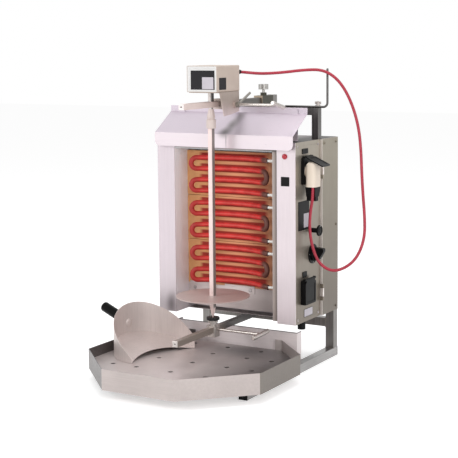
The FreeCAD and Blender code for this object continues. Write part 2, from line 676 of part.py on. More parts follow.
def gantry():
    inner = post_inner()
    back = POST_FRONT + POST
    post = square_tube((inner, inner + POST), (POST_FRONT, back), (CAB_TOP, POST_TOP), RAIL_WALL, "z")
    cap = block((inner, inner + POST), (POST_FRONT, back), (POST_TOP - 4, POST_TOP))
    bar = square_tube((-inner, inner), (POST_FRONT, back), (POST_TOP - POST, POST_TOP), RAIL_WALL, "x")
    saddle = block((-ARM, ARM), (POST_FRONT, back), (POST_TOP - EPS, UPPER_ARM_Z))
    frame = union(bar, post, cap, mirrored(post), mirrored(cap), saddle)
    bolt_x, bolt_y = bolt_place()
    stem_r = 3.0
    bolt_hole = rod(V(bolt_x, bolt_y, POST_TOP - 10), V(bolt_x, bolt_y, POST_TOP + 1), stem_r + RUN / 2)
    frame = frame.cut(bolt_hole)
    add("gantry_frame", frame)

    # guide for the motor's lead: a bent rod lying on the crossbar, its end turned up
    radius = GUIDE_D / 2
    y = POST_FRONT + 4.0
    z = POST_TOP + radius
    bend = 12.0
    right = FRAME_HALF + GUIDE_OUT
    top = POST_TOP + GUIDE_RISE
    level = rod(V(right - GUIDE_REACH, y, z), V(right - bend, y, z), radius)
    elbow = disc_face(V(right - bend, y, z), V(1, 0, 0), radius)
    elbow = elbow.revolve(V(right - bend, y, z + bend), V(0, -1, 0), 90.0)
    rise = rod(V(right, y, z + bend), V(right, y, top), radius)
    ball = Part.makeSphere(radius, V(right, y, top))
    add("cord_guide_rod", union(level, elbow, rise, ball))

    # wing bolt whose washer presses the guide rod onto the post
    low = POST_TOP + GUIDE_D + RUN
    bolt = rod(V(bolt_x, bolt_y, POST_TOP - 8), V(bolt_x, bolt_y, low + 12), stem_r)
    washer = rod(V(bolt_x, bolt_y, low), V(bolt_x, bolt_y, low + 1.5), 8.0)
    nut = rod(V(bolt_x, bolt_y, low + 1), V(bolt_x, bolt_y, low + 6), 4.5)
    wing = block((bolt_x - 9, bolt_x + 9), (bolt_y - 1.2, bolt_y + 1.2), (low + 4, low + 11))
    add("wing_bolt", union(bolt, washer, nut, wing))


# ---------------------------------------------------------------- upper arm
ARM_BLOCK = (262.0, 318.0)
THUMB_Y = 294.0


def upper_arm():
    top = UPPER_ARM_Z + ARM
    arm = arm_tube(UPPER_ARM_FRONT, UPPER_ARM_Z)
    slot_half = SHAFT_D / 2 + 0.4
    slot = rounded_box((-slot_half, slot_half), (-TRAVEL_OUT - 2 * SHAFT_D, TRAVEL_IN + 2 * SHAFT_D),
                       (UPPER_ARM_Z - 1, top + 1), slot_half * 0.9, "z")
    add("upper_arm", arm.cut(slot))

    half = RAIL / 2 + 1.5
    body = block((-half, half), ARM_BLOCK, (UPPER_ARM_Z - 2, MAST_TOP))
    tail = block((-RAIL / 2, RAIL / 2), (ARM_BLOCK[1] - EPS, REAR), (UPPER_ARM_Z - 2, MAST_TOP))
    hole = block((-ARM / 2, ARM / 2), (ARM_BLOCK[0] - 1, REAR + 1), (UPPER_ARM_Z, top))
    nut = rod(V(0, THUMB_Y, MAST_TOP - EPS), V(0, THUMB_Y, MAST_TOP + 8), 9.0)
    bore = rod(V(0, THUMB_Y, top), V(0, THUMB_Y, MAST_TOP + 9), 4.0 + RUN / 2)
    add("arm_clamp_block", union(body, tail, nut).cut(hole).cut(bore))

    stem = rod(V(0, THUMB_Y, top + GAP), V(0, THUMB_Y, MAST_TOP + 20), 4.0)
    head = rod(V(0, THUMB_Y, MAST_TOP + 17), V(0, THUMB_Y, MAST_TOP + 32), 14.5)
    flutes = []
    for i in range(12):
        angle = math.radians(30 * i)
        centre = V(15.5 * math.cos(angle), THUMB_Y + 15.5 * math.sin(angle), MAST_TOP + 16)
        flutes.append(rod(centre, centre + V(0, 0, 18), 2.2))
    add("arm_thumbscrew", union(stem, head.cut(flutes)))


# ---------------------------------------------------------------- motor carriage
def t_clamp(start, reach, bar_half, tilt):
    """Clamp screw: a rod along X with a plain bar across its outer end."""
    end = V(reach, start.y, start.z)
    across = V(0, math.cos(math.radians(tilt)), math.sin(math.radians(tilt)))
    handle = rod(end - across * bar_half, end + across * bar_half, CLAMP_BAR / 2)
    handle = handle.makeFillet(2.0, [e for e in handle.Edges if e.Closed])
    return union(rod(start, end, CLAMP_ROD / 2), handle)


def cheek_face():
    """X of the outer face of the bracket's cheek, which hangs flush with the motor's side."""
    return MOTOR_HALF + CHEEK_T


def carriage():
    wall = 1.5
    x = (-MOTOR_HALF, MOTOR_HALF)
    outer = rounded_box(x, (MOTOR_FRONT, MOTOR_BACK), (MOTOR_BOTTOM, MOTOR_TOP), 3.0, "y")
    hollow = block((x[0] + wall, x[1] - wall), (MOTOR_FRONT - 1, MOTOR_BACK - wall),
                   (MOTOR_BOTTOM + wall, MOTOR_TOP - wall))
    shaft_hole = rod(V(0, 0, MOTOR_BOTTOM - 5), V(0, 0, MOTOR_BOTTOM + 5), SHAFT_D / 2 + 3)
    add("motor_housing", outer.cut(hollow).cut(shaft_hole))

    front = block((x[0] + wall, x[1] - wall), (MOTOR_FRONT, MOTOR_FRONT + 2),
                  (MOTOR_BOTTOM + wall, MOTOR_TOP - wall))
    border = 7.0
    recess = block((x[0] + border, x[1] - border), (MOTOR_FRONT - 1, MOTOR_FRONT + 0.8),
                   (MOTOR_BOTTOM + border, MOTOR_TOP - border))
    add("motor_front_panel", front.cut(recess))

    floor = MOTOR_BOTTOM + wall
    gearbox = rounded_box((-GEARBOX_HALF, GEARBOX_HALF), (-GEARBOX_DEEP, GEARBOX_DEEP),
                          (floor, floor + GEARBOX_TALL), 6.0, "z")
    can_foot = V(0, 2, floor + GEARBOX_TALL - EPS)
    can = rod(can_foot, can_foot + V(0, 0, CAN_TALL + EPS), CAN_R)
    bearing = rod(V(0, 0, floor - 1), V(0, 0, floor + GEARBOX_TALL - 6), SHAFT_D / 2 + RUN / 2)
    add("gear_motor", union(gearbox, can).cut(bearing))

    # bracket: plate under the motor, one cheek on the right, and the guide that runs on the arm
    top = MOTOR_BOTTOM
    cheek_x = MOTOR_HALF
    front = MOTOR_FRONT + 11.0
    back = MOTOR_BACK - 5.0
    plate = block((-MOTOR_HALF, cheek_x + EPS), (front, back), (top - CHEEK_T, top))
    outline = [V(0, front, top), V(0, back, top), V(0, back, CLAMP_Z - 19), V(0, 22, CLAMP_Z - 26),
               V(0, front + 23, CLAMP_Z - 29)]
    cheek = prism([p + V(cheek_x, 0, 0) for p in outline], V(CHEEK_T, 0, 0))
    boss = rod(V(cheek_x, CLAMP_Y, CLAMP_Z), V(cheek_face() + BOSS_OUT, CLAMP_Y, CLAMP_Z), 9.0)
    guide_y = (CLAMP_Y - 10.0, CLAMP_Y + 20.0)
    guide = block((-ARM / 2 - GUIDE_WALL, cheek_x + EPS), guide_y,
                  (UPPER_ARM_Z - GUIDE_WALL, UPPER_ARM_Z + ARM + GUIDE_WALL))
    rib = block((ARM / 2 + GUIDE_WALL, cheek_x + EPS), (guide_y[1] - 4, guide_y[1]),
                (UPPER_ARM_Z + ARM, top - CHEEK_T + EPS))
    tunnel = block((-ARM / 2 - RUN, ARM / 2 + RUN), (guide_y[0] - 1, guide_y[1] + 1),
                   (UPPER_ARM_Z - RUN, UPPER_ARM_Z + ARM + RUN))
    screw_bore = rod(V(0, CLAMP_Y, CLAMP_Z), V(cheek_face() + 10, CLAMP_Y, CLAMP_Z), CLAMP_ROD / 2 + RUN / 2)
    shaft_hole = rod(V(0, 0, top - 10), V(0, 0, top + 5), SHAFT_D / 2 + 3)
    bracket = union(plate, cheek, boss, guide, rib)
    add("carriage_bracket", bracket.cut(tunnel).cut(screw_bore).cut(shaft_hole))

    start = V(ARM / 2 + GAP, CLAMP_Y, CLAMP_Z)
    add("upper_clamp_screw", t_clamp(start, CLAMP_REACH, CLAMP_HALF, -13.0))

    # locking lever, whose ring turns on the clamp screw outside the boss
    near = V(cheek_face() + BOSS_OUT + GAP, CLAMP_Y, CLAMP_Z)
    far = near + V(LEVER_HUB, 0, 0)
    rise = math.radians(LEVER_RISE)
    middle = (near + far) / 2
    tip = middle + V(0, LEVER_LENGTH * math.cos(rise), LEVER_LENGTH * math.sin(rise))
    arm = rod(middle, tip, LEVER_D / 2)
    arm = arm.makeFillet(1.5, [e for e in arm.Edges if e.Closed and e.CenterOfMass.distanceToPoint(tip) < 1])
    bore = rod(near - V(1, 0, 0), far + V(1, 0, 0), CLAMP_ROD / 2 + GAP)
    add("carriage_lever", union(rod(near, far, LEVER_HUB_R), arm).cut(bore))


# ---------------------------------------------------------------- spit
def spit():
    half = BAR / 2
    point = 1.5
    shaft = block((-half, half), (-half, half), (BAR_POINT, BAR_TOP))
    lower = Part.makePolygon([V(-half, -half, BAR_POINT), V(half, -half, BAR_POINT), V(half, half, BAR_POINT),
                              V(-half, half, BAR_POINT), V(-half, -half, BAR_POINT)])
    tip = Part.makePolygon([V(-point, -point, BAR_TIP), V(point, -point, BAR_TIP), V(point, point, BAR_TIP),
                            V(-point, point, BAR_TIP), V(-point, -point, BAR_TIP)])
    taper = Part.makeLoft([tip, lower], True)
    add("spit_bar", union(shaft, taper))

    disc = rod(V(0, 0, DISC_Z), V(0, 0, DISC_Z + DISC_T), DISC_R)
    collar = rod(V(0, 0, DISC_Z - 9), V(0, 0, DISC_Z + EPS), 14.0)
    square = block((-half, half), (-half, half), (DISC_Z - 20, DISC_Z + 20))
    add("spit_disc", union(disc, collar).cut(square))

    groove = SLEEVE_TOP + 5.1
    neck_top = UPPER_ARM_Z - 4.0
    sleeve = rod(V(0, 0, BAR_TOP), V(0, 0, SLEEVE_TOP), SLEEVE_R)
    sleeve = sleeve.makeFillet(1.5, [sleeve.Edges[0], sleeve.Edges[2]])
    ring = rod(V(0, 0, SLEEVE_TOP - EPS), V(0, 0, groove + EPS), SLEEVE_R - 3)
    taper = cone(V(0, 0, groove), V(0, 0, neck_top), SLEEVE_R - 1.5, SHAFT_D / 2 + 2)
    add("spit_sleeve", union(sleeve, ring, taper))

    # square coupling above the arm, and the shaft that runs through the slot in the arm
    low = UPPER_ARM_Z + ARM + 0.6
    shaft = rod(V(0, 0, neck_top), V(0, 0, MOTOR_BOTTOM + 12), SHAFT_D / 2)
    square = block((-COUPLING / 2, COUPLING / 2), (-COUPLING / 2, COUPLING / 2), (low, COUPLING_TOP))
    square.rotate(V(0, 0, 0), V(0, 0, 1), 12.0)
    dot = V(0, -COUPLING / 2, low + COUPLING)
    grub = rod(dot, dot + V(0, 3, 0), 2.0)
    grub.rotate(V(0, 0, 0), V(0, 0, 1), 12.0)
    add("drive_coupling", union(shaft, square).cut(grub))


def lower_bearing():
    half = ARM / 2 + 6
    body = rounded_box((-half, half), (-HUB_R, HUB_R), (HUB_BOTTOM, HUB_TOP), 4.0, "z")
    tunnel = block((-ARM / 2 - RUN, ARM / 2 + RUN), (-40, 40),
                   (LOWER_ARM_Z - RUN, LOWER_ARM_Z + ARM + RUN))
    neck = rod(V(0, 0, HUB_TOP - EPS), V(0, 0, CUP_BOTTOM), 9.0)
    ring = rod(V(0, 0, HUB_TOP + 8), V(0, 0, HUB_TOP + 13), 13.5)
    z = LOWER_ARM_Z + ARM / 2 + 0.6
    start = V(ARM / 2 + GAP, 5.0, z)
    bore = rod(V(0, start.y, z), V(half + 5, start.y, z), CLAMP_ROD / 2 + RUN / 2)
    add("lower_hub", union(body, neck, ring).cut(tunnel).cut(bore))

    cup = rod(V(0, 0, CUP_BOTTOM), V(0, 0, CUP_TOP), CUP_R)
    seat = cone(V(0, 0, BAR_TIP - GAP), V(0, 0, CUP_TOP + EPS), 3.0, 6.0)
    add("bearing_cup", cup.makeFillet(1.5, [cup.Edges[0]]).cut(seat))
    add("lower_clamp_screw", t_clamp(start, LOW_CLAMP_REACH, LOW_CLAMP_HALF, 2.6))


# ---------------------------------------------------------------- drip tray
def octagon(inset, back):
    """Outline of the tray at a distance inside its outer face, cut straight across the back."""
    half = TRAY_HALF - inset
    side = TRAY_SIDE - inset * math.tan(math.radians(22.5))
    rear = back - inset
    slant = half + side - (rear - TRAY_CENTRE)
    front = TRAY_CENTRE - half
    return [V(-side, front, 0), V(side, front, 0), V(half, TRAY_CENTRE - side, 0),
            V(half, TRAY_CENTRE + side, 0), V(slant, rear, 0), V(-slant, rear, 0),
            V(-half, TRAY_CENTRE + side, 0), V(-half, TRAY_CENTRE - side, 0)]


def octagon_solid(inset, low, high):
    base = [p + V(0, 0, low) for p in octagon(inset, TRAY_BACK)]
    return prism(base, V(0, 0, high - low))


def tray():
    low = RAIL + GAP
    pan = octagon_solid(0, low, TRAY_RIM).cut(octagon_solid(TRAY_WALL, low + TRAY_WALL, TRAY_RIM + 1))
    doorway = block((-TRAY_RETURN, TRAY_RETURN), (TRAY_BACK - 5, TRAY_BACK + 5),
                    (low + LOW_LIP, TRAY_RIM + 1))
    add("tray_pan", pan.cut(doorway))

    gap = TRAY_WALL + 0.6
    skin = FLOOR_T
    plate = octagon_solid(gap, FLOOR_TOP - skin, FLOOR_TOP)
    skirt = octagon_solid(gap, low + TRAY_WALL + 0.4, FLOOR_TOP)
    skirt = skirt.cut(octagon_solid(gap + skin, 0, FLOOR_TOP - skin + EPS))
    plate = union(plate, skirt)
    holes = []
    for x in HOLE_COLUMNS:
        for y in HOLE_ROWS:
            corner = abs(x) > 150 and y < -300 or abs(x) > 150 and y > 60
            if not corner:
                holes.append(rod(V(x, y, 0), V(x, y, FLOOR_TOP + 5), HOLE_D / 2))
    add("tray_floor_plate", plate.cut(holes))


def scoop():
    """U-shaped scoop, laid out with its mouth at +X and then turned into place."""
    base = FLOOR_TOP + GAP
    inner_r = SCOOP_R - SHEET

    def horseshoe(radius, low, high):
        drum = Part.makeCylinder(radius, high - low, V(0, 0, low))
        straight = block((0, SCOOP_SIDE), (-radius, radius), (low, high))
        return union(drum.cut(block((0, 2 * radius), (-2 * radius, 2 * radius), (low, high))), straight)

    top = base + SCOOP_MID_H + SCOOP_FALL * SCOOP_R + 2.0
    wall = horseshoe(SCOOP_R, base, top).cut(horseshoe(inner_r, base - 1, top + 1))
    mouth = block((SCOOP_SIDE - EPS, SCOOP_SIDE + 1), (-inner_r, inner_r), (base, top))
    wall = wall.cut(mouth)
    reach = 2 * SCOOP_R
    middle = base + SCOOP_MID_H
    low = middle - SCOOP_FALL * reach
    high = middle + SCOOP_FALL * reach
    cutter = prism([V(-reach, -reach, high), V(reach, -reach, low), V(reach, -reach, high + 1),
                    V(-reach, -reach, high + 1)], V(0, 2 * reach, 0))
    cutter.rotate(V(0, 0, 0), V(0, 0, 1), SCOOP_FALL_TURN)
    wall = wall.cut(cutter)

    # inner plate, sloping up from its crescent front edge to a crease on the wall
    front = SCOOP_SIDE - 5.0
    rise = base + SCOOP_TILT * (front + SCOOP_R)
    plate = prism([V(-SCOOP_R, -SCOOP_R, rise), V(front, -SCOOP_R, base), V(front, -SCOOP_R, base + SHEET),
                   V(-SCOOP_R, -SCOOP_R, rise + SHEET)], V(0, 2 * SCOOP_R, 0))
    plate = plate.common(horseshoe(inner_r + EPS, base, top))
    crescent = Part.makeCylinder(SCOOP_MOUTH_R, top, V(SCOOP_MOUTH_R - SCOOP_MOUTH_IN, 0, 0))
    body = union(wall, plate.cut(crescent))

    out = V(-math.cos(math.radians(HANDLE_RISE)), 0, math.sin(math.radians(HANDLE_RISE)))
    root = V(-SCOOP_R + EPS, 0, HANDLE_Z)
    boss = rod(root - out * 3, root + out * 10, 13.0).cut(horseshoe(inner_r, 0, 2 * top))
    body = union(body, boss)
    tip = root + out * (10 + HANDLE_LENGTH)
    grip = rod(root + out * 10, tip, HANDLE_R)
    for end, fillet in ((tip, 4.0), (root + out * 10, 2.0)):
        rims = [e for e in grip.Edges if e.Closed and e.CenterOfMass.distanceToPoint(end) < 1]
        grip = grip.makeFillet(fillet, rims)
    for name, shape in (("scoop_body", body), ("scoop_handle", grip)):
        shape.rotate(V(0, 0, 0), V(0, 0, 1), SCOOP_TURN)
        shape.translate(V(SCOOP_X, SCOOP_Y, 0))
        add(name, shape)


# ---------------------------------------------------------------- electrics
def socket(name, y, z, wide, tall, proud, bore, pins):
    """Flanged socket: a housing on the panel, its insert behind it, and the hinge's knuckles."""
    face = FRAME_HALF
    flange = rounded_box((face, face + proud), (y - wide / 2, y + wide / 2), (z - tall / 2, z + tall / 2),
                         5.0, "x")
    insert = rod(V(face - 26, y, z), V(face + EPS, y, z), bore / 2 + SOCKET_WALL)
    recess = rod(V(face - 14, y, z), V(face + proud + 1, y, z), bore / 2)
    body = union(flange, insert).cut(recess)
    contacts = []
    for i in range(pins):
        angle = math.radians(360.0 * i / pins + 90)
        at = V(face - 20, y + bore * 0.26 * math.cos(angle), z + bore * 0.26 * math.sin(angle))
        contacts.append(rod(at, at + V(10, 0, 0), 2.4))
    body = body.cut(contacts)
    hinge = hinge_point(z, tall, proud)
    for end in (-1, 1):
        ear = block((face + proud - 4, face + proud + 3.5), (y + end * wide / 2, y + end * (wide / 2 - 5)),
                    (hinge.z - 3.5, hinge.z + 2.5))
        body = union(body, ear)
    body = body.cut(rod(V(hinge.x, y - wide, hinge.z), V(hinge.x, y + wide, hinge.z), PIN_R + RUN / 2))
    add(name, body)


def hinge_point(z, tall, proud):
    """Axis of a lid's pin, above the flange of its socket."""
    return V(FRAME_HALF + proud + 0.5, 0, z + tall / 2 + 3.0)


def lid(name, y, z, wide, tall, proud, length, drop):
    """Sprung lid on its pin, hanging shut at a drop of 90 degrees."""
    hinge = hinge_point(z, tall, proud)
    reach = wide / 2 - 5 - GAP
    barrel = rod(V(0, y - reach, 0), V(0, y + reach, 0), 2.4)
    pin = rod(V(0, y - wide / 2, 0), V(0, y + wide / 2, 0), PIN_R)
    leaf = rounded_box((0, length), (y - reach, y + reach), (0.4, 0.4 + LID_T), 6.0, "z")
    square = block((0, 12), (y - reach, y + reach), (0.4, 0.4 + LID_T))
    full = rounded_box((7, length), (y - wide / 2, y + wide / 2), (0.4, 0.4 + LID_T), 6.0, "z")
    dish = rounded_box((14, length - 6), (y - wide / 2 + 6, y + wide / 2 - 6),
                       (LID_T - 0.6, LID_T + 3), 5.0, "z")
    shape = union(leaf, square, full, barrel, pin).cut(dish)
    shape.rotate(V(0, 0, 0), V(0, 1, 0), drop)
    shape.translate(V(hinge.x, 0, hinge.z))
    add(name, shape)


def controls():
    socket("upper_socket_housing", SOCKET_Y, SOCKET_Z, SOCKET_WIDE, SOCKET_TALL, SOCKET_PROUD, SOCKET_BORE, 3)
    lid("upper_socket_lid", SOCKET_Y, SOCKET_Z, SOCKET_WIDE, SOCKET_TALL, SOCKET_PROUD, UPPER_LID,
        UPPER_LID_DROP)
    socket("lower_socket_housing", LOWER_Y, LOWER_Z, LOWER_WIDE, LOWER_TALL, LOWER_PROUD, LOWER_BORE, 5)
    lid("lower_socket_lid", LOWER_Y, LOWER_Z, LOWER_WIDE, LOWER_TALL, LOWER_PROUD, LOWER_TALL + 2.0, 90.0)

    # energy regulator and rotary switch: bodies behind the panel, stems through it, knobs outside
    inner = FRAME_HALF - SHEET
    regulator = rounded_box((inner - 32, inner), (REG_Y - 24, REG_Y + 24), (REG_Z - 24, REG_Z + 24), 3.0, "x")
    reg_bore = rod(V(inner - 12, REG_Y, REG_Z), V(inner + 5, REG_Y, REG_Z), STEM_D / 2 + RUN / 2)
    switch = rounded_box((inner - BODY_REACH, inner), (SWITCH_Y - 26, SWITCH_Y + 26),
                         (SWITCH_Z - 26, SWITCH_Z + 26), 3.0, "x")
    switch_bore = rod(V(inner - 12, SWITCH_Y, SWITCH_Z), V(inner + 5, SWITCH_Y, SWITCH_Z),
                      STEM_D / 2 + RUN / 2)
    add("switch_bodies", regulator.cut(reg_bore), switch.cut(switch_bore))

    base = FRAME_HALF + 0.6
    face = FRAME_HALF + REG_OUT
    stem = rod(V(inner - 11, REG_Y, REG_Z), V(base + 5, REG_Y, REG_Z), STEM_D / 2)
    neck = rod(V(base, REG_Y, REG_Z), V(face - REG_HEAD + EPS, REG_Y, REG_Z), REG_NECK_R)
    head = rod(V(face - REG_HEAD, REG_Y, REG_Z), V(face, REG_Y, REG_Z), REG_KNOB_R)
    head = head.makeFillet(1.8, [e for e in head.Edges if e.Closed])
    dish = rod(V(face - 1.2, REG_Y, REG_Z), V(face + 1, REG_Y, REG_Z), REG_KNOB_R - 3.5)
    pip = rod(V(face - 2, REG_Y, REG_Z), V(face - 0.4, REG_Y, REG_Z), REG_NECK_R)
    add("regulator_knob", union(stem, neck, head.cut(dish), pip))

    plate_face = FRAME_HALF + 2.5
    base = plate_face + 0.5
    tip = FRAME_HALF + SWITCH_OUT
    stem = rod(V(inner - 11, SWITCH_Y, SWITCH_Z), V(base + 5, SWITCH_Y, SWITCH_Z), STEM_D / 2)
    dial = rod(V(base, SWITCH_Y, SWITCH_Z), V(base + 7, SWITCH_Y, SWITCH_Z), SWITCH_KNOB_R)
    dial = dial.makeFillet(1.5, [e for e in dial.Edges if e.Closed and e.CenterOfMass.x > base + 6])
    side = V(0, SWITCH_Y - SWITCH_HALF, SWITCH_Z)
    fin = prism([side + V(base + 6, 0, 18.0), side + V(tip - 3, 0, 16.5), side + V(tip, 0, 14.0),
                 side + V(tip, 0, 8.0), side + V(tip - 13, 0, -14.5), side + V(base + 6, 0, -18.0)],
                V(0, 2 * SWITCH_HALF, 0))
    add("rotary_switch_knob", union(stem, dial, fin))

    # plain plates: data plate, label, tabs, switch surround, and one small plate on the front
    skin = 0.6
    out = (FRAME_HALF, FRAME_HALF + skin)
    data_plate = rounded_box(out, DATA_Y, DATA_Z, 2.0, "x")
    label = rounded_box(out, LABEL_Y, LABEL_Z, 1.0, "x")
    tab_y = (SOCKET_Y - 19, SOCKET_Y + 14)
    upper_tab = rounded_box((FRAME_HALF, FRAME_HALF + 2), tab_y, (SOCKET_Z + 46, SOCKET_Z + 60), 2.0, "x")
    tab_foot = LOWER_Z + LOWER_TALL / 2 + 7
    lower_tab = rounded_box((FRAME_HALF, FRAME_HALF + 2), (LOWER_Y - 20, LOWER_Y + 4),
                            (tab_foot, tab_foot + 15), 2.0, "x")
    surround = rod(V(FRAME_HALF, SWITCH_Y, SWITCH_Z), V(plate_face, SWITCH_Y, SWITCH_Z), SWITCH_PLATE_R)
    surround = surround.cut(through_side(SWITCH_Y, SWITCH_Z, STEM_D / 2 + 1))
    plate_left = BAY_HALF + 13.0
    front_plate = rounded_box((plate_left, plate_left + FRONT_PLATE), (CAB_FRONT - skin, CAB_FRONT),
                              (FRONT_PLATE_Z, FRONT_PLATE_Z + FRONT_PLATE), 1.5, "y")
    add("face_plates", data_plate, label, upper_tab, lower_tab, surround, front_plate)

    bezel = rod(V(LAMP_X, CAB_FRONT - 2, LAMP_Z), V(LAMP_X, CAB_FRONT, LAMP_Z), LAMP_R)
    lens = rod(V(LAMP_X, CAB_FRONT - 5, LAMP_Z), V(LAMP_X, CAB_FRONT - 2 + EPS, LAMP_Z), LAMP_R - 1.5)
    lens = lens.makeFillet(2.0, [e for e in lens.Edges if e.Closed and e.CenterOfMass.y < CAB_FRONT - 4])
    body = rod(V(LAMP_X, CAB_FRONT - EPS, LAMP_Z), V(LAMP_X, CAB_FRONT + 24, LAMP_Z), LAMP_STEM_R)
    add("indicator_lamp", union(bezel, lens, body))

    # terminal block on a rail inside the cabinet's right side
    block_x = (inner - 21, inner - 5)
    terminal = rounded_box(block_x, TERMINAL_Y, TERMINAL_Z, 2.0, "x")
    rail = block((block_x[1], inner), (TERMINAL_Y[0] + 12, TERMINAL_Y[1] - 12),
                 (TERMINAL_Z[0] - 10, TERMINAL_Z[1] + 10))
    grooves = []
    for i in range(TERMINAL_COUNT - 1):
        z = TERMINAL_Z[0] + (TERMINAL_Z[1] - TERMINAL_Z[0]) * (i + 1) / TERMINAL_COUNT
        grooves.append(block((block_x[0] - 1, block_x[0] + 8), (TERMINAL_Y[0] - 1, TERMINAL_Y[1] + 1),
                             (z - 1, z + 1)))
    add("terminal_block", union(terminal.cut(grooves), rail))

    top = CAB_BOTTOM + SHEET
    at = V(GLAND_X, GLAND_Y, 0)
    thread = rod(at + V(0, 0, CAB_BOTTOM - EPS), at + V(0, 0, top + 10), GLAND_R)
    flange = rod(at + V(0, 0, CAB_BOTTOM - 7), at + V(0, 0, CAB_BOTTOM), GLAND_R + 3)
    nut = rod(at + V(0, 0, CAB_BOTTOM - GLAND_HANG), at + V(0, 0, CAB_BOTTOM - 7 + EPS), GLAND_R + 1)
    bore = rod(at + V(0, 0, CAB_BOTTOM - GLAND_HANG - 1), at + V(0, 0, top + 12), GLAND_BORE)
    add("mains_gland", union(thread, flange, nut).cut(bore))


# ---------------------------------------------------------------- the motor's lead and its plug
def plug():
    """Angled plug: a nose in the socket, a body hanging down beside it, and a grooved cap below."""
    near = FRAME_HALF + SOCKET_PROUD + GAP
    far = near + PLUG_DEEP
    left = SOCKET_Y - PLUG_WIDE / 2
    right = SOCKET_Y + PLUG_WIDE / 2
    exit_point = V(*CORD_ROUTE[-1])
    foot = exit_point.z
    top = foot + PLUG_TALL
    body = rounded_box((near, far), (left, right), (foot, top), 11.0, "z")
    body = body.makeFillet(6.0, [e for e in body.Edges if e.BoundBox.ZMin > top - 0.1])
    shoulder = 13.0
    slope = prism([V(near - 1, left - 1, top - shoulder - 1), V(near + shoulder + 1, left - 1, top + 1),
                   V(near - 1, left - 1, top + 1)], V(0, PLUG_WIDE + 2, 0))
    nose = rod(V(near - SOCKET_PROUD - 12, SOCKET_Y, SOCKET_Z), V(near + EPS, SOCKET_Y, SOCKET_Z),
               SOCKET_BORE / 2 - 2)
    add("plug_body", union(body.cut(slope), nose))

    # cap: tapered below the body, cut away in front where the lead hangs down
    deep = V(PLUG_DEEP - 4, 0, 0)
    inset = 1.5
    base = foot - RUN
    waist = foot - CAP_TALL * 0.7
    skirt = prism([V(near + 1, left + inset, base), V(near + 1, right - inset, base),
                   V(near + 1, right - 11, waist), V(near + 1, left + 8, waist)], deep)
    stub = block((near + 1, near + PLUG_DEEP - 3), (left + 11, right - 16), (foot - CAP_TALL, waist + 5))
    bend = V(*CORD_ROUTE[-2])
    below = V(*CORD_ROUTE[-3])
    groove = [rod(exit_point, bend, CORD_D / 2 + 1), rod(bend, below, CORD_D / 2 + 1),
              rod(bend - (below - bend) * 0.2, bend, CORD_D / 2 + 1)]
    before = block((exit_point.x - CORD_D / 2 - 1, far), (left - 1, exit_point.y),
                   (foot - 2 * CAP_TALL, foot))
    add("plug_cap", union(skirt, stub).cut(groove).cut(before))


def cord():
    """Straight runs joined by tangent arcs, each as large as its two runs allow."""
    points = [V(*p) for p in CORD_ROUTE]
    radii = []
    edges = []
    at = points[0]
    for before, corner, after in zip(points, points[1:], points[2:]):
        back = (before - corner).normalize()
        ahead = (after - corner).normalize()
        turn = math.pi - back.getAngle(ahead)
        run = min((before - corner).Length, (after - corner).Length)
        radius = 0.45 * run / math.tan(turn / 2)
        start = corner + back * (0.45 * run)
        finish = corner + ahead * (0.45 * run)
        to_centre = (back + ahead).normalize()
        centre = corner + to_centre * (radius / math.cos(turn / 2))
        middle = centre - to_centre * radius
        if (start - at).Length > 1e-6:
            edges.append(Part.LineSegment(at, start).toShape())
        edges.append(Part.Arc(start, middle, finish).toShape())
        at = finish
        radii.append(radius)
    edges.append(Part.LineSegment(at, points[-1]).toShape())
    path = Part.Wire(edges)
    section = Part.Wire(Part.makeCircle(CORD_D / 2, points[0], points[1] - points[0]))
    tube = path.makePipeShell([section], True, False)
    runs = [(b - a).Length for a, b in zip(points, points[1:])]
    print("cord runs", [round(r) for r in runs])
    print("cord radii", [round(r) for r in radii])
    print("cord length", round(path.Length, 1), "volume ratio",
          round(tube.Volume / (math.pi * (CORD_D / 2) ** 2 * path.Length), 5))
    add("motor_cord", tube)


# ---------------------------------------------------------------- build and write
CORD_NODES = ("motor_cord", "plug_body", "plug_cap")
base_frame()
left_box()
control_panel()
side_door()
cabinet()
heating()
hood()
gantry()
upper_arm()
carriage()
spit()
lower_bearing()
tray()
scoop()
controls()
plug()
cord()
add("panel_screws", *SCREWS)

whole = Part.makeCompound([shape for name, shape in NODES.items() if name not in CORD_NODES])
box = whole.optimalBoundingBox(False)
PLACE = V(-(box.XMin + box.XMax) / 2, -(box.YMin + box.YMax) / 2, -box.ZMin)
print("size", round(box.XLength, 2), round(box.YLength, 2), round(box.ZLength, 2), "moved by", PLACE)
for name, shape in NODES.items():
    shape.translate(PLACE)
    shape.exportStep("parts/%s.step" % name)
    flaws = "" if shape.isValid() else "INVALID"
    print("%-22s %3d solids %10.0f mm3 %s" % (name, len(shape.Solids), shape.Volume, flaws))
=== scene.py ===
import math

import bpy
import bmesh
from mathutils import Matrix, Vector


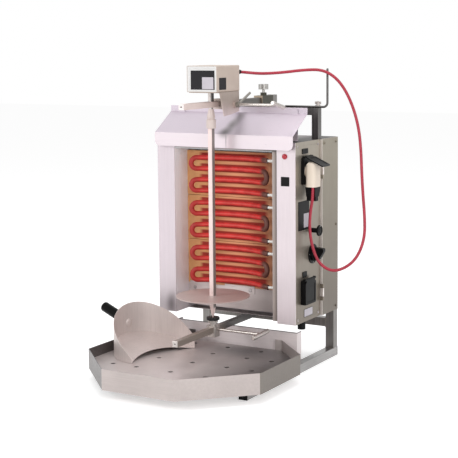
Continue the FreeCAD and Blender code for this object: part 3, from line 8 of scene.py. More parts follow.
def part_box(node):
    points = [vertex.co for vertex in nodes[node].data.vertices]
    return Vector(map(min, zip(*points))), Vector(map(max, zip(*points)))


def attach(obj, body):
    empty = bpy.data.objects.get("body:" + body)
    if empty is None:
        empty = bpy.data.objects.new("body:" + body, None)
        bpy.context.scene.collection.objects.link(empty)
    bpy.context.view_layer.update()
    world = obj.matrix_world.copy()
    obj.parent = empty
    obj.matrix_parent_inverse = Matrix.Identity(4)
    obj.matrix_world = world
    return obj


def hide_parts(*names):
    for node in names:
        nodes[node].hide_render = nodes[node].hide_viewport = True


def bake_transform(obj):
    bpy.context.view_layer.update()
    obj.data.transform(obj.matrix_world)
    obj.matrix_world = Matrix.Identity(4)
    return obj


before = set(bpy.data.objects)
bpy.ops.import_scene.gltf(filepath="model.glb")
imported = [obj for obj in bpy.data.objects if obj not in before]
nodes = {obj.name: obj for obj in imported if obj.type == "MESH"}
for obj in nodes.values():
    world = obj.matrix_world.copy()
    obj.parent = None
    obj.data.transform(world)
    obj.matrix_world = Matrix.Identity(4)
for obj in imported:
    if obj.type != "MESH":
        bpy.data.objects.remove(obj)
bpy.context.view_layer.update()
MM = 0.001

# ---------------------------------------------------------------- room and camera
# A plain pale studio: a white floor, soft lamps from the front left and above, and a long lens
# a little above the grill's middle, in front of its control side.
bar_low, bar_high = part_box("spit_bar")
SPIT = Vector(((bar_low[0] + bar_high[0]) / 2, (bar_low[1] + bar_high[1]) / 2, 0.0))


def at(x, y, z):
    """Point given in millimetres from the spit's axis and the floor."""
    return SPIT + Vector((x, y, z)) * MM


CAMERA_FROM_SPIT = (1718.0, -2857.7, 894.9)
CAMERA_TURN = 30.2134
CAMERA_DROP = 6.4139
CAMERA_ROLL = -0.4745
LENS = 97.83
RAISE = -0.1004

scene = bpy.context.scene
camera_data = bpy.data.cameras.new("camera")
camera_data.lens = LENS
camera_data.sensor_width = 36.0
camera_data.shift_y = RAISE
camera_data.clip_end = 50.0
camera = bpy.data.objects.new("camera", camera_data)
scene.collection.objects.link(camera)
camera.matrix_world = (Matrix.Translation(at(*CAMERA_FROM_SPIT))
                       @ Matrix.Rotation(math.radians(CAMERA_TURN), 4, "Z")
                       @ Matrix.Rotation(math.radians(90.0 - CAMERA_DROP), 4, "X")
                       @ Matrix.Rotation(math.radians(CAMERA_ROLL), 4, "Z"))
scene.camera = camera
scene.view_settings.view_transform = "Standard"


def lamp(name, place, target, size, power):
    """Soft round lamp, turned to face its target."""
    data = bpy.data.lights.new(name, "AREA")
    data.shape = "DISK"
    data.size = size
    data.energy = power
    item = bpy.data.objects.new(name, data)
    item.location = place
    item.rotation_euler = (Vector(target) - Vector(place)).to_track_quat("-Z", "Y").to_euler()
    scene.collection.objects.link(item)


lamp("front_left_lamp", (-1.7, -2.6, 1.9), (0.0, 0.0, 0.4), 1.6, 36.0)
lamp("right_lamp", (2.2, -1.7, 1.3), (0.0, 0.1, 0.4), 1.8, 24.0)
lamp("top_lamp", (0.2, 0.2, 2.8), (0.0, 0.0, 0.3), 2.0, 22.0)


def seen_directly(tree):
    """1 for rays from the camera, a reflection or through glass, else 0."""
    path = tree.nodes.new("ShaderNodeLightPath")
    rays = [path.outputs["Is %s Ray" % kind] for kind in ("Camera", "Glossy", "Transmission")]
    total = rays[0]
    for ray in rays[1:]:
        either = tree.nodes.new("ShaderNodeMath")
        either.operation = "MAXIMUM"
        tree.links.new(total, either.inputs[0])
        tree.links.new(ray, either.inputs[1])
        total = either.outputs[0]
    return total


ROOM_LIGHT = 0.58
ROOM_WHITE = 1.0
world = bpy.data.worlds.new("studio")
scene.world = world
world.use_nodes = True
backdrop = world.node_tree
level = backdrop.nodes.new("ShaderNodeMapRange")
level.inputs["To Min"].default_value = ROOM_LIGHT
level.inputs["To Max"].default_value = ROOM_WHITE
backdrop.links.new(seen_directly(backdrop), level.inputs["Value"])
backdrop.nodes["Background"].inputs["Color"].default_value = (1.0, 1.0, 1.0, 1.0)
backdrop.links.new(level.outputs["Result"], backdrop.nodes["Background"].inputs["Strength"])


def new_material(name):
    """Material with its node tree, its shader and its object coordinates."""
    material = bpy.data.materials.new(name)
    material.use_nodes = True
    tree = material.node_tree
    coords = tree.nodes.new("ShaderNodeTexCoord")
    return material, tree, tree.nodes["Principled BSDF"], coords.outputs["Object"]


FLOOR_LIFT = 0.45


def floor():
    """White floor that carries on to the background and keeps the grill's shadow."""
    mesh = bpy.data.meshes.new("studio_floor")
    reach = 12.0
    drop = -0.0002
    corners = [(-reach, -reach, drop), (reach, -reach, drop), (reach, reach, drop), (-reach, reach, drop)]
    mesh.from_pydata(corners, [], [(0, 1, 2, 3)])
    item = bpy.data.objects.new("studio_floor", mesh)
    scene.collection.objects.link(item)
    material, tree, shader, _ = new_material("studio_floor")
    shader.inputs["Base Color"].default_value = (0.90, 0.90, 0.90, 1.0)
    shader.inputs["Roughness"].default_value = 0.8
    shader.inputs["Specular IOR Level"].default_value = 0.0
    shader.inputs["Emission Color"].default_value = (1.0, 1.0, 1.0, 1.0)
    lift = tree.nodes.new("ShaderNodeMath")
    lift.operation = "MULTIPLY"
    lift.inputs[1].default_value = FLOOR_LIFT
    tree.links.new(seen_directly(tree), lift.inputs[0])
    tree.links.new(lift.outputs[0], shader.inputs["Emission Strength"])
    mesh.materials.append(material)


floor()

# ---------------------------------------------------------------- motor lead
# Round silicone lead in a crimson sheath, from the back of the motor box over the guide rod, down in
# a loop and up into its plug. The moulded plug hangs from the upper socket; its cap grips the lead.
LEAD_D = 8.0
LEAD_ROUTE = [
    (34.0, 73.4, 817.0),
    (34.0, 99.0, 817.0),
    (48.0, 124.0, 814.0),
    (80.0, 141.0, 811.0),
    (134.0, 154.0, 814.0),
    (190.0, 171.0, 821.0),
    (239.0, 188.0, 822.0),
    (276.0, 195.0, 801.0),
    (305.0, 196.0, 766.0),
    (329.0, 195.0, 718.0),
    (346.0, 192.0, 663.0),
    (354.0, 188.0, 605.0),
    (359.0, 182.0, 547.0),
    (365.0, 177.0, 489.0),
    (373.0, 171.0, 431.0),
    (376.0, 165.0, 375.0),
    (359.0, 158.0, 323.0),
    (328.0, 151.0, 292.0),
    (289.0, 144.0, 279.0),
    (254.0, 136.0, 300.0),
    (239.0, 127.0, 343.0),
    (234.0, 119.0, 395.0),
    (239.0, 115.0, 443.0),
    (248.0, 112.0, 481.0),
    (248.0, 112.0, 510.0),
]


def value_group(name, inputs, build):
    """Shader node group with a vector input, number inputs and one value output."""
    group = bpy.data.node_groups.new(name, "ShaderNodeTree")
    group.interface.new_socket("Vector", in_out="INPUT", socket_type="NodeSocketVector")
    for label, default in inputs:
        socket = group.interface.new_socket(label, in_out="INPUT", socket_type="NodeSocketFloat")
        socket.default_value = default
    group.interface.new_socket("Value", in_out="OUTPUT", socket_type="NodeSocketFloat")
    start = group.nodes.new("NodeGroupInput")
    end = group.nodes.new("NodeGroupOutput")
    build(group, start, end)
    return group


def build_clouds(group, start, end):
    """Soft marks of handling and heat, pushed towards light or dark by Amount."""
    noise = group.nodes.new("ShaderNodeTexNoise")
    noise.inputs["Detail"].default_value = 5.0
    noise.inputs["Roughness"].default_value = 0.62
    ramp = group.nodes.new("ShaderNodeMapRange")
    ramp.interpolation_type = "SMOOTHSTEP"
    ramp.inputs["From Min"].default_value = 0.35
    ramp.inputs["From Max"].default_value = 0.7
    scale = group.nodes.new("ShaderNodeMath")
    scale.operation = "MULTIPLY"
    links = group.links
    links.new(start.outputs["Vector"], noise.inputs["Vector"])
    links.new(start.outputs["Size"], noise.inputs["Scale"])
    links.new(noise.outputs["Fac"], ramp.inputs["Value"])
    links.new(ramp.outputs["Result"], scale.inputs[0])
    links.new(start.outputs["Amount"], scale.inputs[1])
    links.new(scale.outputs[0], end.inputs["Value"])


CLOUDS = value_group("handling_marks", [("Size", 9.0), ("Amount", 1.0)], build_clouds)


def group_node(tree, group, vector, **values):
    node = tree.nodes.new("ShaderNodeGroup")
    node.node_tree = group
    tree.links.new(vector, node.inputs["Vector"])
    for label, number in values.items():
        node.inputs[label].default_value = number
    return node.outputs["Value"]


def mixed(tree, factor, low, high):
    """Colour between two colours, or between a colour and a socket."""
    mix = tree.nodes.new("ShaderNodeMix")
    mix.data_type = "RGBA"
    tree.links.new(factor, mix.inputs["Factor"])
    for socket, colour in (("A", low), ("B", high)):
        target = [s for s in mix.inputs if s.name == socket and s.type == "RGBA"][0]
        if isinstance(colour, bpy.types.NodeSocket):
            tree.links.new(colour, target)
        else:
            target.default_value = (*colour, 1.0)
    return [s for s in mix.outputs if s.type == "RGBA"][0]


def ranged(tree, value, low, high, from_low=0.0, from_high=1.0, smooth=False):
    node = tree.nodes.new("ShaderNodeMapRange")
    if smooth:
        node.interpolation_type = "SMOOTHSTEP"
    node.inputs["From Min"].default_value = from_low
    node.inputs["From Max"].default_value = from_high
    node.inputs["To Min"].default_value = low
    node.inputs["To Max"].default_value = high
    tree.links.new(value, node.inputs["Value"])
    return node.outputs["Result"]


def bumped(tree, shader, height, strength, distance):
    bump = tree.nodes.new("ShaderNodeBump")
    bump.inputs["Strength"].default_value = strength
    bump.inputs["Distance"].default_value = distance
    tree.links.new(height, bump.inputs["Height"])
    tree.links.new(bump.outputs["Normal"], shader.inputs["Normal"])


def tone(red, green, blue):
    """Linear colour of a plain tone given from 0 to 255."""
    return tuple((c / 255.0 / 12.92) if c < 10.3 else ((c / 255.0 + 0.055) / 1.055) ** 2.4
                 for c in (red, green, blue))


def coated(name, colour, shade, roughness, speck=1400.0, depth=0.00003, coat=0.0, marks=0.4, gloss=0.5):
    """Paint or moulded plastic: even colour with a fine skin texture and faint rubbing marks."""
    material, tree, shader, coords = new_material(name)
    skin = tree.nodes.new("ShaderNodeTexNoise")
    skin.inputs["Scale"].default_value = speck
    skin.inputs["Detail"].default_value = 2.0
    tree.links.new(coords, skin.inputs["Vector"])
    clouds = group_node(tree, CLOUDS, coords, Size=22.0, Amount=marks)
    tree.links.new(mixed(tree, clouds, colour, shade), shader.inputs["Base Color"])
    tree.links.new(ranged(tree, clouds, roughness, roughness + 0.15), shader.inputs["Roughness"])
    shader.inputs["Coat Weight"].default_value = coat
    shader.inputs["Specular IOR Level"].default_value = gloss
    bumped(tree, shader, skin.outputs["Fac"], 0.3, depth)
    return material


WELD_REACH = 0.000002


def edge_tree():
    """Geometry Nodes tree that welds a loose mesh and shades its round faces smooth."""
    tree = bpy.data.node_groups.new("weld_and_smooth", "GeometryNodeTree")
    tree.interface.new_socket("Geometry", in_out="INPUT", socket_type="NodeSocketGeometry")
    tree.interface.new_socket("Geometry", in_out="OUTPUT", socket_type="NodeSocketGeometry")
    start = tree.nodes.new("NodeGroupInput")
    end = tree.nodes.new("NodeGroupOutput")
    weld = tree.nodes.new("GeometryNodeMergeByDistance")
    weld.inputs["Distance"].default_value = WELD_REACH
    faces = tree.nodes.new("GeometryNodeSetShadeSmooth")
    edges = tree.nodes.new("GeometryNodeSetShadeSmooth")
    edges.domain = "EDGE"
    edges.inputs["Shade Smooth"].default_value = False
    angle = tree.nodes.new("GeometryNodeInputMeshEdgeAngle")
    sharp = tree.nodes.new("FunctionNodeCompare")
    sharp.operation = "GREATER_THAN"
    sharp.inputs["B"].default_value = math.radians(32.0)
    links = tree.links
    links.new(start.outputs[0], weld.inputs["Geometry"])
    links.new(weld.outputs["Geometry"], faces.inputs["Geometry"])
    links.new(faces.outputs["Geometry"], edges.inputs["Geometry"])
    links.new(angle.outputs["Unsigned Angle"], sharp.inputs["A"])
    links.new(sharp.outputs["Result"], edges.inputs["Selection"])
    links.new(edges.outputs["Geometry"], end.inputs[0])
    return tree


WELD = edge_tree()


def dress(material, *names, edge=0.35):
    """Give CAD nodes a finish, smooth round faces and, with edge in millimetres, broken corners."""
    for name in names:
        item = nodes[name]
        item.data.materials.clear()
        item.data.materials.append(material)
        for polygon in item.data.polygons:
            polygon.material_index = 0
        weld = item.modifiers.new("weld", "NODES")
        weld.node_group = WELD
        if edge > 0:
            bevel = item.modifiers.new("broken_edges", "BEVEL")
            bevel.width = edge * MM
            bevel.segments = 2
            bevel.limit_method = "ANGLE"
            bevel.angle_limit = math.radians(40.0)
            bevel.harden_normals = True


def new_piece(name, mesh, material, body=None, smooth=True):
    """Mesh placed in the row frame that rides on a CAD body, unless it is to be blended between two."""
    item = bpy.data.objects.new(name, mesh)
    scene.collection.objects.link(item)
    mesh.materials.clear()
    mesh.materials.append(material)
    for polygon in mesh.polygons:
        polygon.use_smooth = smooth
    if body:
        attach(item, body)
    return item


def plain_mesh(holder):
    """Plain mesh of an object's finished shape; the object itself goes."""
    bpy.context.view_layer.update()
    mesh = bpy.data.meshes.new_from_object(holder.evaluated_get(bpy.context.evaluated_depsgraph_get()))
    bpy.data.objects.remove(holder)
    return mesh


def mesh_of(name, shape):
    """Named mesh of a working shape, which is freed."""
    mesh = bpy.data.meshes.new(name)
    shape.to_mesh(mesh)
    shape.free()
    return mesh


SPLINE_STEPS = 24


def spline_points(name, points):
    """Points read from the NURBS spline that has these control points."""
    curve = bpy.data.curves.new(name, "CURVE")
    curve.dimensions = "3D"
    spline = curve.splines.new("NURBS")
    spline.points.add(len(points) - 1)
    for point, place in zip(spline.points, points):
        point.co = (*place, 1.0)
    spline.order_u = 3
    spline.use_endpoint_u = True
    spline.resolution_u = SPLINE_STEPS
    holder = bpy.data.objects.new(name, curve)
    scene.collection.objects.link(holder)
    return [v.co.copy() for v in plain_mesh(holder).vertices]


def tube_mesh(name, path, radius_at, sides=16):
    """Round closed tube along a path; radius_at gives the radius at each distance along it."""
    bm = bmesh.new()
    rings = []
    travelled = 0.0
    side = None
    for i, point in enumerate(path):
        ahead = (path[min(i + 1, len(path) - 1)] - path[max(i - 1, 0)]).normalized()
        if side is None:
            side = ahead.orthogonal().normalized()
        side = (side - ahead * side.dot(ahead)).normalized()
        up = ahead.cross(side)
        if i:
            travelled += (point - path[i - 1]).length
        radius = radius_at(travelled)
        ring = []
        for k in range(sides):
            turn = 2 * math.pi * k / sides
            ring.append(bm.verts.new(point + (side * math.cos(turn) + up * math.sin(turn)) * radius))
        rings.append(ring)
    for first, second in zip(rings, rings[1:]):
        for k in range(sides):
            bm.faces.new((first[k], first[(k + 1) % sides], second[(k + 1) % sides], second[k]))
    bm.faces.new(rings[0][::-1])
    bm.faces.new(rings[-1])
    bmesh.ops.recalc_face_normals(bm, faces=bm.faces)
    return mesh_of(name, bm)


lead_material = coated("lead_sheath", tone(172, 42, 62), tone(150, 30, 50), 0.42, speck=900.0, marks=0.5)
lead_path = spline_points("lead_line", [at(*p) for p in LEAD_ROUTE])
lead = new_piece("motor_lead", tube_mesh("motor_lead", lead_path, lambda s: LEAD_D / 2 * MM), lead_material)
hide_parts("motor_cord")
cream = coated("plug_cream", tone(238, 224, 208), tone(226, 210, 192), 0.42)
black = coated("black_moulding", tone(5, 5, 6), tone(13, 12, 13), 0.42, gloss=0.15)
dress(cream, "plug_body")
dress(black, "plug_cap")

# strain relief: a ribbed, tapered rubber sleeve where the lead leaves the motor's box
RELIEF_LENGTH = 26.0
RELIEF_FOOT_R = 9.0
RELIEF_TAPER = 3.6
GROOVE_DEEP = 0.7
GROOVE_PITCH = 4
GROOVE_WIDE = 2
GROOVES_FROM = 0.15
GROOVES_TO = 0.9
relief_path = [lead_path[0] + Vector((0.0, s * MM, 0.0)) for s in range(int(RELIEF_LENGTH) + 1)]


def relief_radius(distance):
    """Taper from the foot to the tip, with shallow grooves at an even pitch."""
    share = distance / (RELIEF_LENGTH * MM)
    grooved = GROOVES_FROM < share < GROOVES_TO and round(distance / MM) % GROOVE_PITCH < GROOVE_WIDE
    return (RELIEF_FOOT_R - RELIEF_TAPER * share - (GROOVE_DEEP if grooved else 0.0)) * MM


relief_mesh = tube_mesh("motor_strain_relief", relief_path, relief_radius, sides=24)
relief = new_piece("motor_strain_relief", relief_mesh, black, "motor_carriage", smooth=False)
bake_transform(lead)

# ---------------------------------------------------------------- base frame
# Two rails, two uprights and a cross member of 25 mm square stainless tube, satin finished and welded,
# with plastic caps in the rails' ends. The mast at the back carries both arms.
def build_grain(group, start, end):
    """Fine parallel scratches: two stretched noises laid over each other."""
    fine = group.nodes.new("ShaderNodeTexNoise")
    fine.inputs["Detail"].default_value = 3.0
    coarse = group.nodes.new("ShaderNodeTexNoise")
    coarse.inputs["Detail"].default_value = 2.0
    share = group.nodes.new("ShaderNodeMath")
    share.operation = "MULTIPLY"
    share.inputs[1].default_value = 0.22
    mix = group.nodes.new("ShaderNodeMix")
    links = group.links
    links.new(start.outputs["Vector"], fine.inputs["Vector"])
    links.new(start.outputs["Vector"], coarse.inputs["Vector"])
    links.new(start.outputs["Fineness"], fine.inputs["Scale"])
    links.new(start.outputs["Fineness"], share.inputs[0])
    links.new(share.outputs[0], coarse.inputs["Scale"])
    mix.inputs["Factor"].default_value = 0.4
    links.new(fine.outputs["Fac"], mix.inputs["A"])
    links.new(coarse.outputs["Fac"], mix.inputs["B"])
    links.new(mix.outputs["Result"], end.inputs["Value"])


GRAIN_FINENESS = 900.0
MARK_SIZE = 9.0
GRAIN = value_group("brushed_grain", [("Fineness", GRAIN_FINENESS)], build_grain)


def stretched(tree, coords, scale, place=(0.0, 0.0, 0.0)):
    """Coordinates scaled unequally, so that a noise runs in streaks along one axis."""
    mapping = tree.nodes.new("ShaderNodeMapping")
    mapping.inputs["Scale"].default_value = scale
    mapping.inputs["Location"].default_value = place
    tree.links.new(coords, mapping.inputs["Vector"])
    return mapping.outputs["Vector"]


def combined(tree, operation, first, second):
    node = tree.nodes.new("ShaderNodeMath")
    node.operation = operation
    for socket, value in zip(node.inputs, (first, second)):
        if isinstance(value, bpy.types.NodeSocket):
            tree.links.new(value, socket)
        else:
            socket.default_value = value
    return node.outputs[0]


def spot(tree, coords, place, size):
    """1 at a place, in millimetres from the spit, fading to 0 at a soft ellipsoid round it."""
    centre = at(*place)
    half = [s * MM for s in size]
    local = stretched(tree, coords, [1.0 / h for h in half], [-c / h for c, h in zip(centre, half)])
    reach = tree.nodes.new("ShaderNodeVectorMath")
    reach.operation = "LENGTH"
    tree.links.new(local, reach.inputs[0])
    return ranged(tree, reach.outputs["Value"], 1.0, 0.0, smooth=True)


def along_axis(tree, coords, axis, start, end):
    """0 to 1 between two places on one axis, in millimetres from the spit."""
    parts = tree.nodes.new("ShaderNodeSeparateXYZ")
    tree.links.new(coords, parts.inputs[0])
    origin = SPIT["xyz".index(axis)]
    return ranged(tree, parts.outputs[axis.upper()], 0.0, 1.0, origin + start * MM, origin + end * MM)


BRUSH = {"x": (0.02, 1.0, 1.0), "y": (1.0, 0.02, 1.0), "z": (1.0, 1.0, 0.02)}


def brushed_steel(name, light, dark, along, roughness=0.34, marks=0.5, metallic=0.6, shades=()):
    """Brushed stainless steel: streaks along one axis, cloudy handling marks, uneven gloss.

    Each shade is a colour and a function that gives its mask from the tree and the coordinates.
    """
    material, tree, shader, coords = new_material(name)
    grain = group_node(tree, GRAIN, stretched(tree, coords, BRUSH[along]), Fineness=GRAIN_FINENESS)
    clouds = group_node(tree, CLOUDS, coords, Size=MARK_SIZE, Amount=marks)
    colour = mixed(tree, ranged(tree, grain, 0.0, 1.0, 0.3, 0.7), dark, light)
    for shade, mask in shades:
        factor = combined(tree, "MULTIPLY", mask(tree, coords), ranged(tree, grain, 0.88, 1.0, 0.3, 0.7))
        colour = mixed(tree, factor, colour, shade)
    dull = mixed(tree, ranged(tree, clouds, 0.0, 0.30), colour, tuple(0.45 * c for c in dark))
    tree.links.new(dull, shader.inputs["Base Color"])
    rough = combined(tree, "ADD", ranged(tree, grain, roughness - 0.05, roughness + 0.08, 0.3, 0.7),
                     combined(tree, "MULTIPLY", clouds, 0.12))
    tree.links.new(rough, shader.inputs["Roughness"])
    shader.inputs["Metallic"].default_value = metallic
    bumped(tree, shader, grain, 0.08, 0.00003)
    return material


frame_steel = brushed_steel("frame_tube", tone(176, 174, 173), tone(146, 144, 143), "y", 0.30, metallic=0.9)
upright_steel = brushed_steel("upright_tube", tone(150, 147, 144), tone(118, 115, 112), "z", 0.30,
                              metallic=0.9)
dress(frame_steel, "base_rails", edge=1.2)
dress(upright_steel, "rear_mast", "rear_frame", edge=1.0)
dress(black, "rail_end_caps")


def tree_with(name, inputs):
    """Empty Geometry Nodes tree with these named inputs; gives the tree, its start and its end."""
    tree = bpy.data.node_groups.new(name, "GeometryNodeTree")
    tree.interface.new_socket("Geometry", in_out="INPUT", socket_type="NodeSocketGeometry")
    for label, kind in inputs:
        tree.interface.new_socket(label, in_out="INPUT", socket_type="NodeSocket" + kind)
    tree.interface.new_socket("Geometry", in_out="OUTPUT", socket_type="NodeSocketGeometry")
    return tree, tree.nodes.new("NodeGroupInput"), tree.nodes.new("NodeGroupOutput")


def finish_tree(tree, start, end, geometry):
    """Realize the instances and give them the tree's material."""
    real = tree.nodes.new("GeometryNodeRealizeInstances")
    paint = tree.nodes.new("GeometryNodeSetMaterial")
    tree.links.new(geometry, real.inputs["Geometry"])
    tree.links.new(real.outputs["Geometry"], paint.inputs["Geometry"])
    tree.links.new(start.outputs["Material"], paint.inputs["Material"])
    tree.links.new(paint.outputs["Geometry"], end.inputs["Geometry"])


def grown(name, points, edges, tree, values, material, body, smooth=True):
    """Piece that a Geometry Nodes tree makes from points and edges, as a plain mesh on one body."""
    seed = bpy.data.meshes.new(name + "_seed")
    seed.from_pydata(points, edges, [])
    holder = bpy.data.objects.new(name + "_seed", seed)
    scene.collection.objects.link(holder)
    modifier = holder.modifiers.new("grow", "NODES")
    modifier.node_group = tree
    sockets = {s.name: s.identifier for s in tree.interface.items_tree if s.in_out == "INPUT"}
    modifier[sockets["Material"]] = material
    for label, value in values.items():
        modifier[sockets[label]] = value
    mesh = plain_mesh(holder)
    mesh.name = name
    return new_piece(name, mesh, material, body, smooth)


def bead_tree():
    """A weld bead: overlapping drops at an even pitch along each edge."""
    tree, start, end = tree_with("weld_bead", [("Pitch", "Float"), ("Drop", "Float"),
                                               ("Material", "Material")])
    line = tree.nodes.new("GeometryNodeMeshToCurve")
    spaced = tree.nodes.new("GeometryNodeResampleCurve")
    spaced.mode = "LENGTH"
    drop = tree.nodes.new("GeometryNodeMeshIcoSphere")
    drop.inputs["Subdivisions"].default_value = 2
    place = tree.nodes.new("GeometryNodeInstanceOnPoints")
    tree.links.new(start.outputs["Geometry"], line.inputs["Mesh"])
    tree.links.new(line.outputs["Curve"], spaced.inputs["Curve"])
    tree.links.new(start.outputs["Pitch"], spaced.inputs["Length"])
    tree.links.new(start.outputs["Drop"], drop.inputs["Radius"])
    tree.links.new(spaced.outputs["Curve"], place.inputs["Points"])
    tree.links.new(drop.outputs["Mesh"], place.inputs["Instance"])
    finish_tree(tree, start, end, place.outputs["Instances"])
    return tree


RAIL = 25.0
REAR = 329.0
FRAME_HALF = 218.2
CROSS_TOP = 110.4


def frame_welds():
    """Ends of the bead lines: at the uprights' feet and at the ends of the cross member."""
    inner = FRAME_HALF - RAIL
    front = REAR - RAIL
    lines = []
    for side in (-1, 1):
        lines.append(((side * inner, front, RAIL), (side * FRAME_HALF, front, RAIL)))
        lines.append(((side * inner, front, RAIL), (side * inner, REAR, RAIL)))
        lines.append(((side * inner, front, CROSS_TOP - RAIL), (side * inner, front, CROSS_TOP)))
        lines.append(((side * inner, front, CROSS_TOP), (side * inner, REAR, CROSS_TOP)))
    return lines


weld_steel = coated("weld_bead", tone(120, 112, 104), tone(88, 80, 74), 0.35, speck=600.0, depth=0.0001)
ends = [at(*p) for line in frame_welds() for p in line]
beads = grown("frame_weld_beads", ends, [(i, i + 1) for i in range(0, len(ends), 2)], bead_tree(),
              {"Pitch": 1.6 * MM, "Drop": 1.5 * MM}, weld_steel, "root")

# ---------------------------------------------------------------- cabinet
# Folded stainless sheet. The front strips are painted in a pale, lit tone and the control side in a darker
# beige tone as painted shade. The strips frame the open heating bay; the side is a fixed panel and a shallow
# hinged door behind it.
CAB_FRONT = 68.0
DOOR_FRONT = 218.0
CAB_BOTTOM = 138.0
CAB_TOP = 630.6
# Tones of the control side: the same steel as the front, painted darker as shade.
SIDE_SHADE_LIGHT = tone(164, 156, 141)
SIDE_SHADE_DARK = tone(146, 138, 124)


def fades(axis, start, end, share=1.0):
    """Mask that grows from 0 at one place on an axis to a share at another."""
    return lambda tree, coords: combined(tree, "MULTIPLY", along_axis(tree, coords, axis, start, end), share)


def patch(place, size, share=1.0):
    """Mask of a soft patch, such as painted shade or a painted reflection, in millimetres from the spit."""
    return lambda tree, coords: combined(tree, "MULTIPLY", spot(tree, coords, place, size), share)


strip_steel = brushed_steel("left_strip", tone(214, 203, 209), tone(204, 193, 199), "z", marks=0.2,
                            shades=[
                                # painted shade: darker towards the bottom
                                (tone(188, 180, 182), fades("z", 330.0, 150.0, 0.5)),
                                # painted reflection: a dark soft spot at the strip's foot
                                (tone(90, 82, 84), patch((-178.0, 68.0, 158.0), (26.0, 60.0, 52.0), 0.75))])
panel_steel = brushed_steel("control_panel", tone(222, 211, 215), tone(212, 201, 205), "z", marks=0.2,
                            shades=[
                                # painted shade: the front darker towards the bottom
                                (tone(212, 201, 205), fades("z", 380.0, 160.0, 0.4)),
                                # painted shade: the side face in the side's shaded tone
                                (SIDE_SHADE_LIGHT, fades("y", CAB_FRONT + 1.2, CAB_FRONT + 1.6)),
                                # painted shade: the side face darker still towards the bottom
                                (tone(104, 94, 84), lambda tree, coords: combined(
                                    tree, "MULTIPLY", along_axis(tree, coords, "y", 70.0, 72.0),
                                    ranged(tree, along_axis(tree, coords, "z", 600.0, 160.0), 0.0, 0.8)))])
# The door's base tones are the control side's painted shade.
door_steel = brushed_steel("side_door", SIDE_SHADE_LIGHT, SIDE_SHADE_DARK, "z", marks=0.3, shades=[
    # painted shade: darker towards the bottom
    (tone(104, 95, 87), fades("z", 560.0, 180.0, 0.9)),
    # painted light: the front flange in a pale, lit tone
    (tone(240, 232, 228), fades("y", DOOR_FRONT + 1.6, DOOR_FRONT + 1.2))])
bay_steel = brushed_steel("bay_wall", tone(248, 252, 255), tone(240, 246, 250), "z", 0.55, marks=0.1,
                          metallic=0.0, shades=[
                              # painted shade: darker towards the bottom
                              (tone(226, 214, 218), fades("z", 480.0, 180.0, 0.7)),
                              # painted shade: greyer at the right-hand end
                              (tone(158, 143, 136), fades("x", 147.0, 149.0)),
                              # painted shadow of the front strip in the right-hand corner
                              (tone(84, 74, 70), fades("x", 152.0, 160.0, 0.8))])
dress(strip_steel, "left_box_shell")
dress(panel_steel, "control_panel")
dress(door_steel, "rear_side_panel")
dress(bay_steel, "bay_liner")
plain_steel = brushed_steel("plain_sheet", tone(196, 188, 188), tone(178, 170, 170), "x", 0.36, marks=0.4,
                            metallic=0.7)
# The top is painted dark towards the right-hand end, as shade.
top_steel = brushed_steel("cabinet_top", tone(176, 170, 170), tone(160, 154, 154), "x", 0.5, marks=0.4,
                          metallic=0.3, shades=[(tone(52, 50, 48), fades("x", 90.0, 170.0, 0.95))])
dress(plain_steel, "cabinet_floor")
dress(plain_steel, "rear_cover", edge=0)
dress(top_steel, "cabinet_top")
# The lower sheet is painted darker towards the right, as shade.
lower_steel = brushed_steel("bay_lower_sheet", tone(228, 216, 214), tone(216, 204, 202), "x", 0.4, marks=0.3,
                            metallic=0.2, shades=[(tone(176, 165, 163), fades("x", 30.0, 90.0, 0.9))])
dress(lower_steel, "bay_lower_panel", "retaining_plates")
SPLASH_LIP = 102.0
splash_steel = brushed_steel("backsplash", tone(240, 230, 230), tone(230, 220, 220), "x", 0.4, marks=0.3,
                             metallic=0.1, shades=[
                                 (tone(30, 28, 28), fades("z", SPLASH_LIP - 0.5, SPLASH_LIP + 0.5, 0.9))])
dress(splash_steel, "backsplash_plate")
dress(plain_steel, "panel_screws", edge=0.2)


def solid_boxes(name):
    """Lowest and highest corner of each separate solid of a CAD node."""
    shape = bmesh.new()
    shape.from_mesh(nodes[name].data)
    bmesh.ops.remove_doubles(shape, verts=shape.verts, dist=WELD_REACH)
    left = set(shape.verts)
    boxes = []
    while left:
        group = [left.pop()]
        for vert in group:
            for side in vert.link_edges:
                other = side.other_vert(vert)
                if other in left:
                    left.remove(other)
                    group.append(other)
        places = [v.co for v in group]
        boxes.append((Vector([min(p[i] for p in places) for i in range(3)]),
                      Vector([max(p[i] for p in places) for i in range(3)])))
    shape.free()
    return sorted(boxes, key=lambda b: tuple(b[0]))


def recess_tree():
    """Cross recess of a screw: two bars across each point, turned at random about the screw's axis."""
    tree, start, end = tree_with("cross_recess", [("Long", "Vector"), ("Short", "Vector"),
                                                  ("Align", "Rotation"), ("Material", "Material")])
    join = tree.nodes.new("GeometryNodeJoinGeometry")
    for label in ("Short", "Long"):
        bar = tree.nodes.new("GeometryNodeMeshCube")
        tree.links.new(start.outputs[label], bar.inputs["Size"])
        tree.links.new(bar.outputs["Mesh"], join.inputs["Geometry"])
    place = tree.nodes.new("GeometryNodeInstanceOnPoints")
    tree.links.new(start.outputs["Geometry"], place.inputs["Points"])
    tree.links.new(join.outputs["Geometry"], place.inputs["Instance"])
    tree.links.new(start.outputs["Align"], place.inputs["Rotation"])
    spin = tree.nodes.new("FunctionNodeRandomValue")
    spin.data_type = "FLOAT_VECTOR"
    spin.inputs["Min"].default_value = (0.0, 0.0, 0.0)
    spin.inputs["Max"].default_value = (0.0, 0.0, math.pi)
    spin.inputs["Seed"].default_value = 7
    turned = tree.nodes.new("GeometryNodeRotateInstances")
    tree.links.new(place.outputs["Instances"], turned.inputs["Instances"])
    tree.links.new(spin.outputs["Value"], turned.inputs["Rotation"])
    finish_tree(tree, start, end, turned.outputs["Instances"])
    return tree


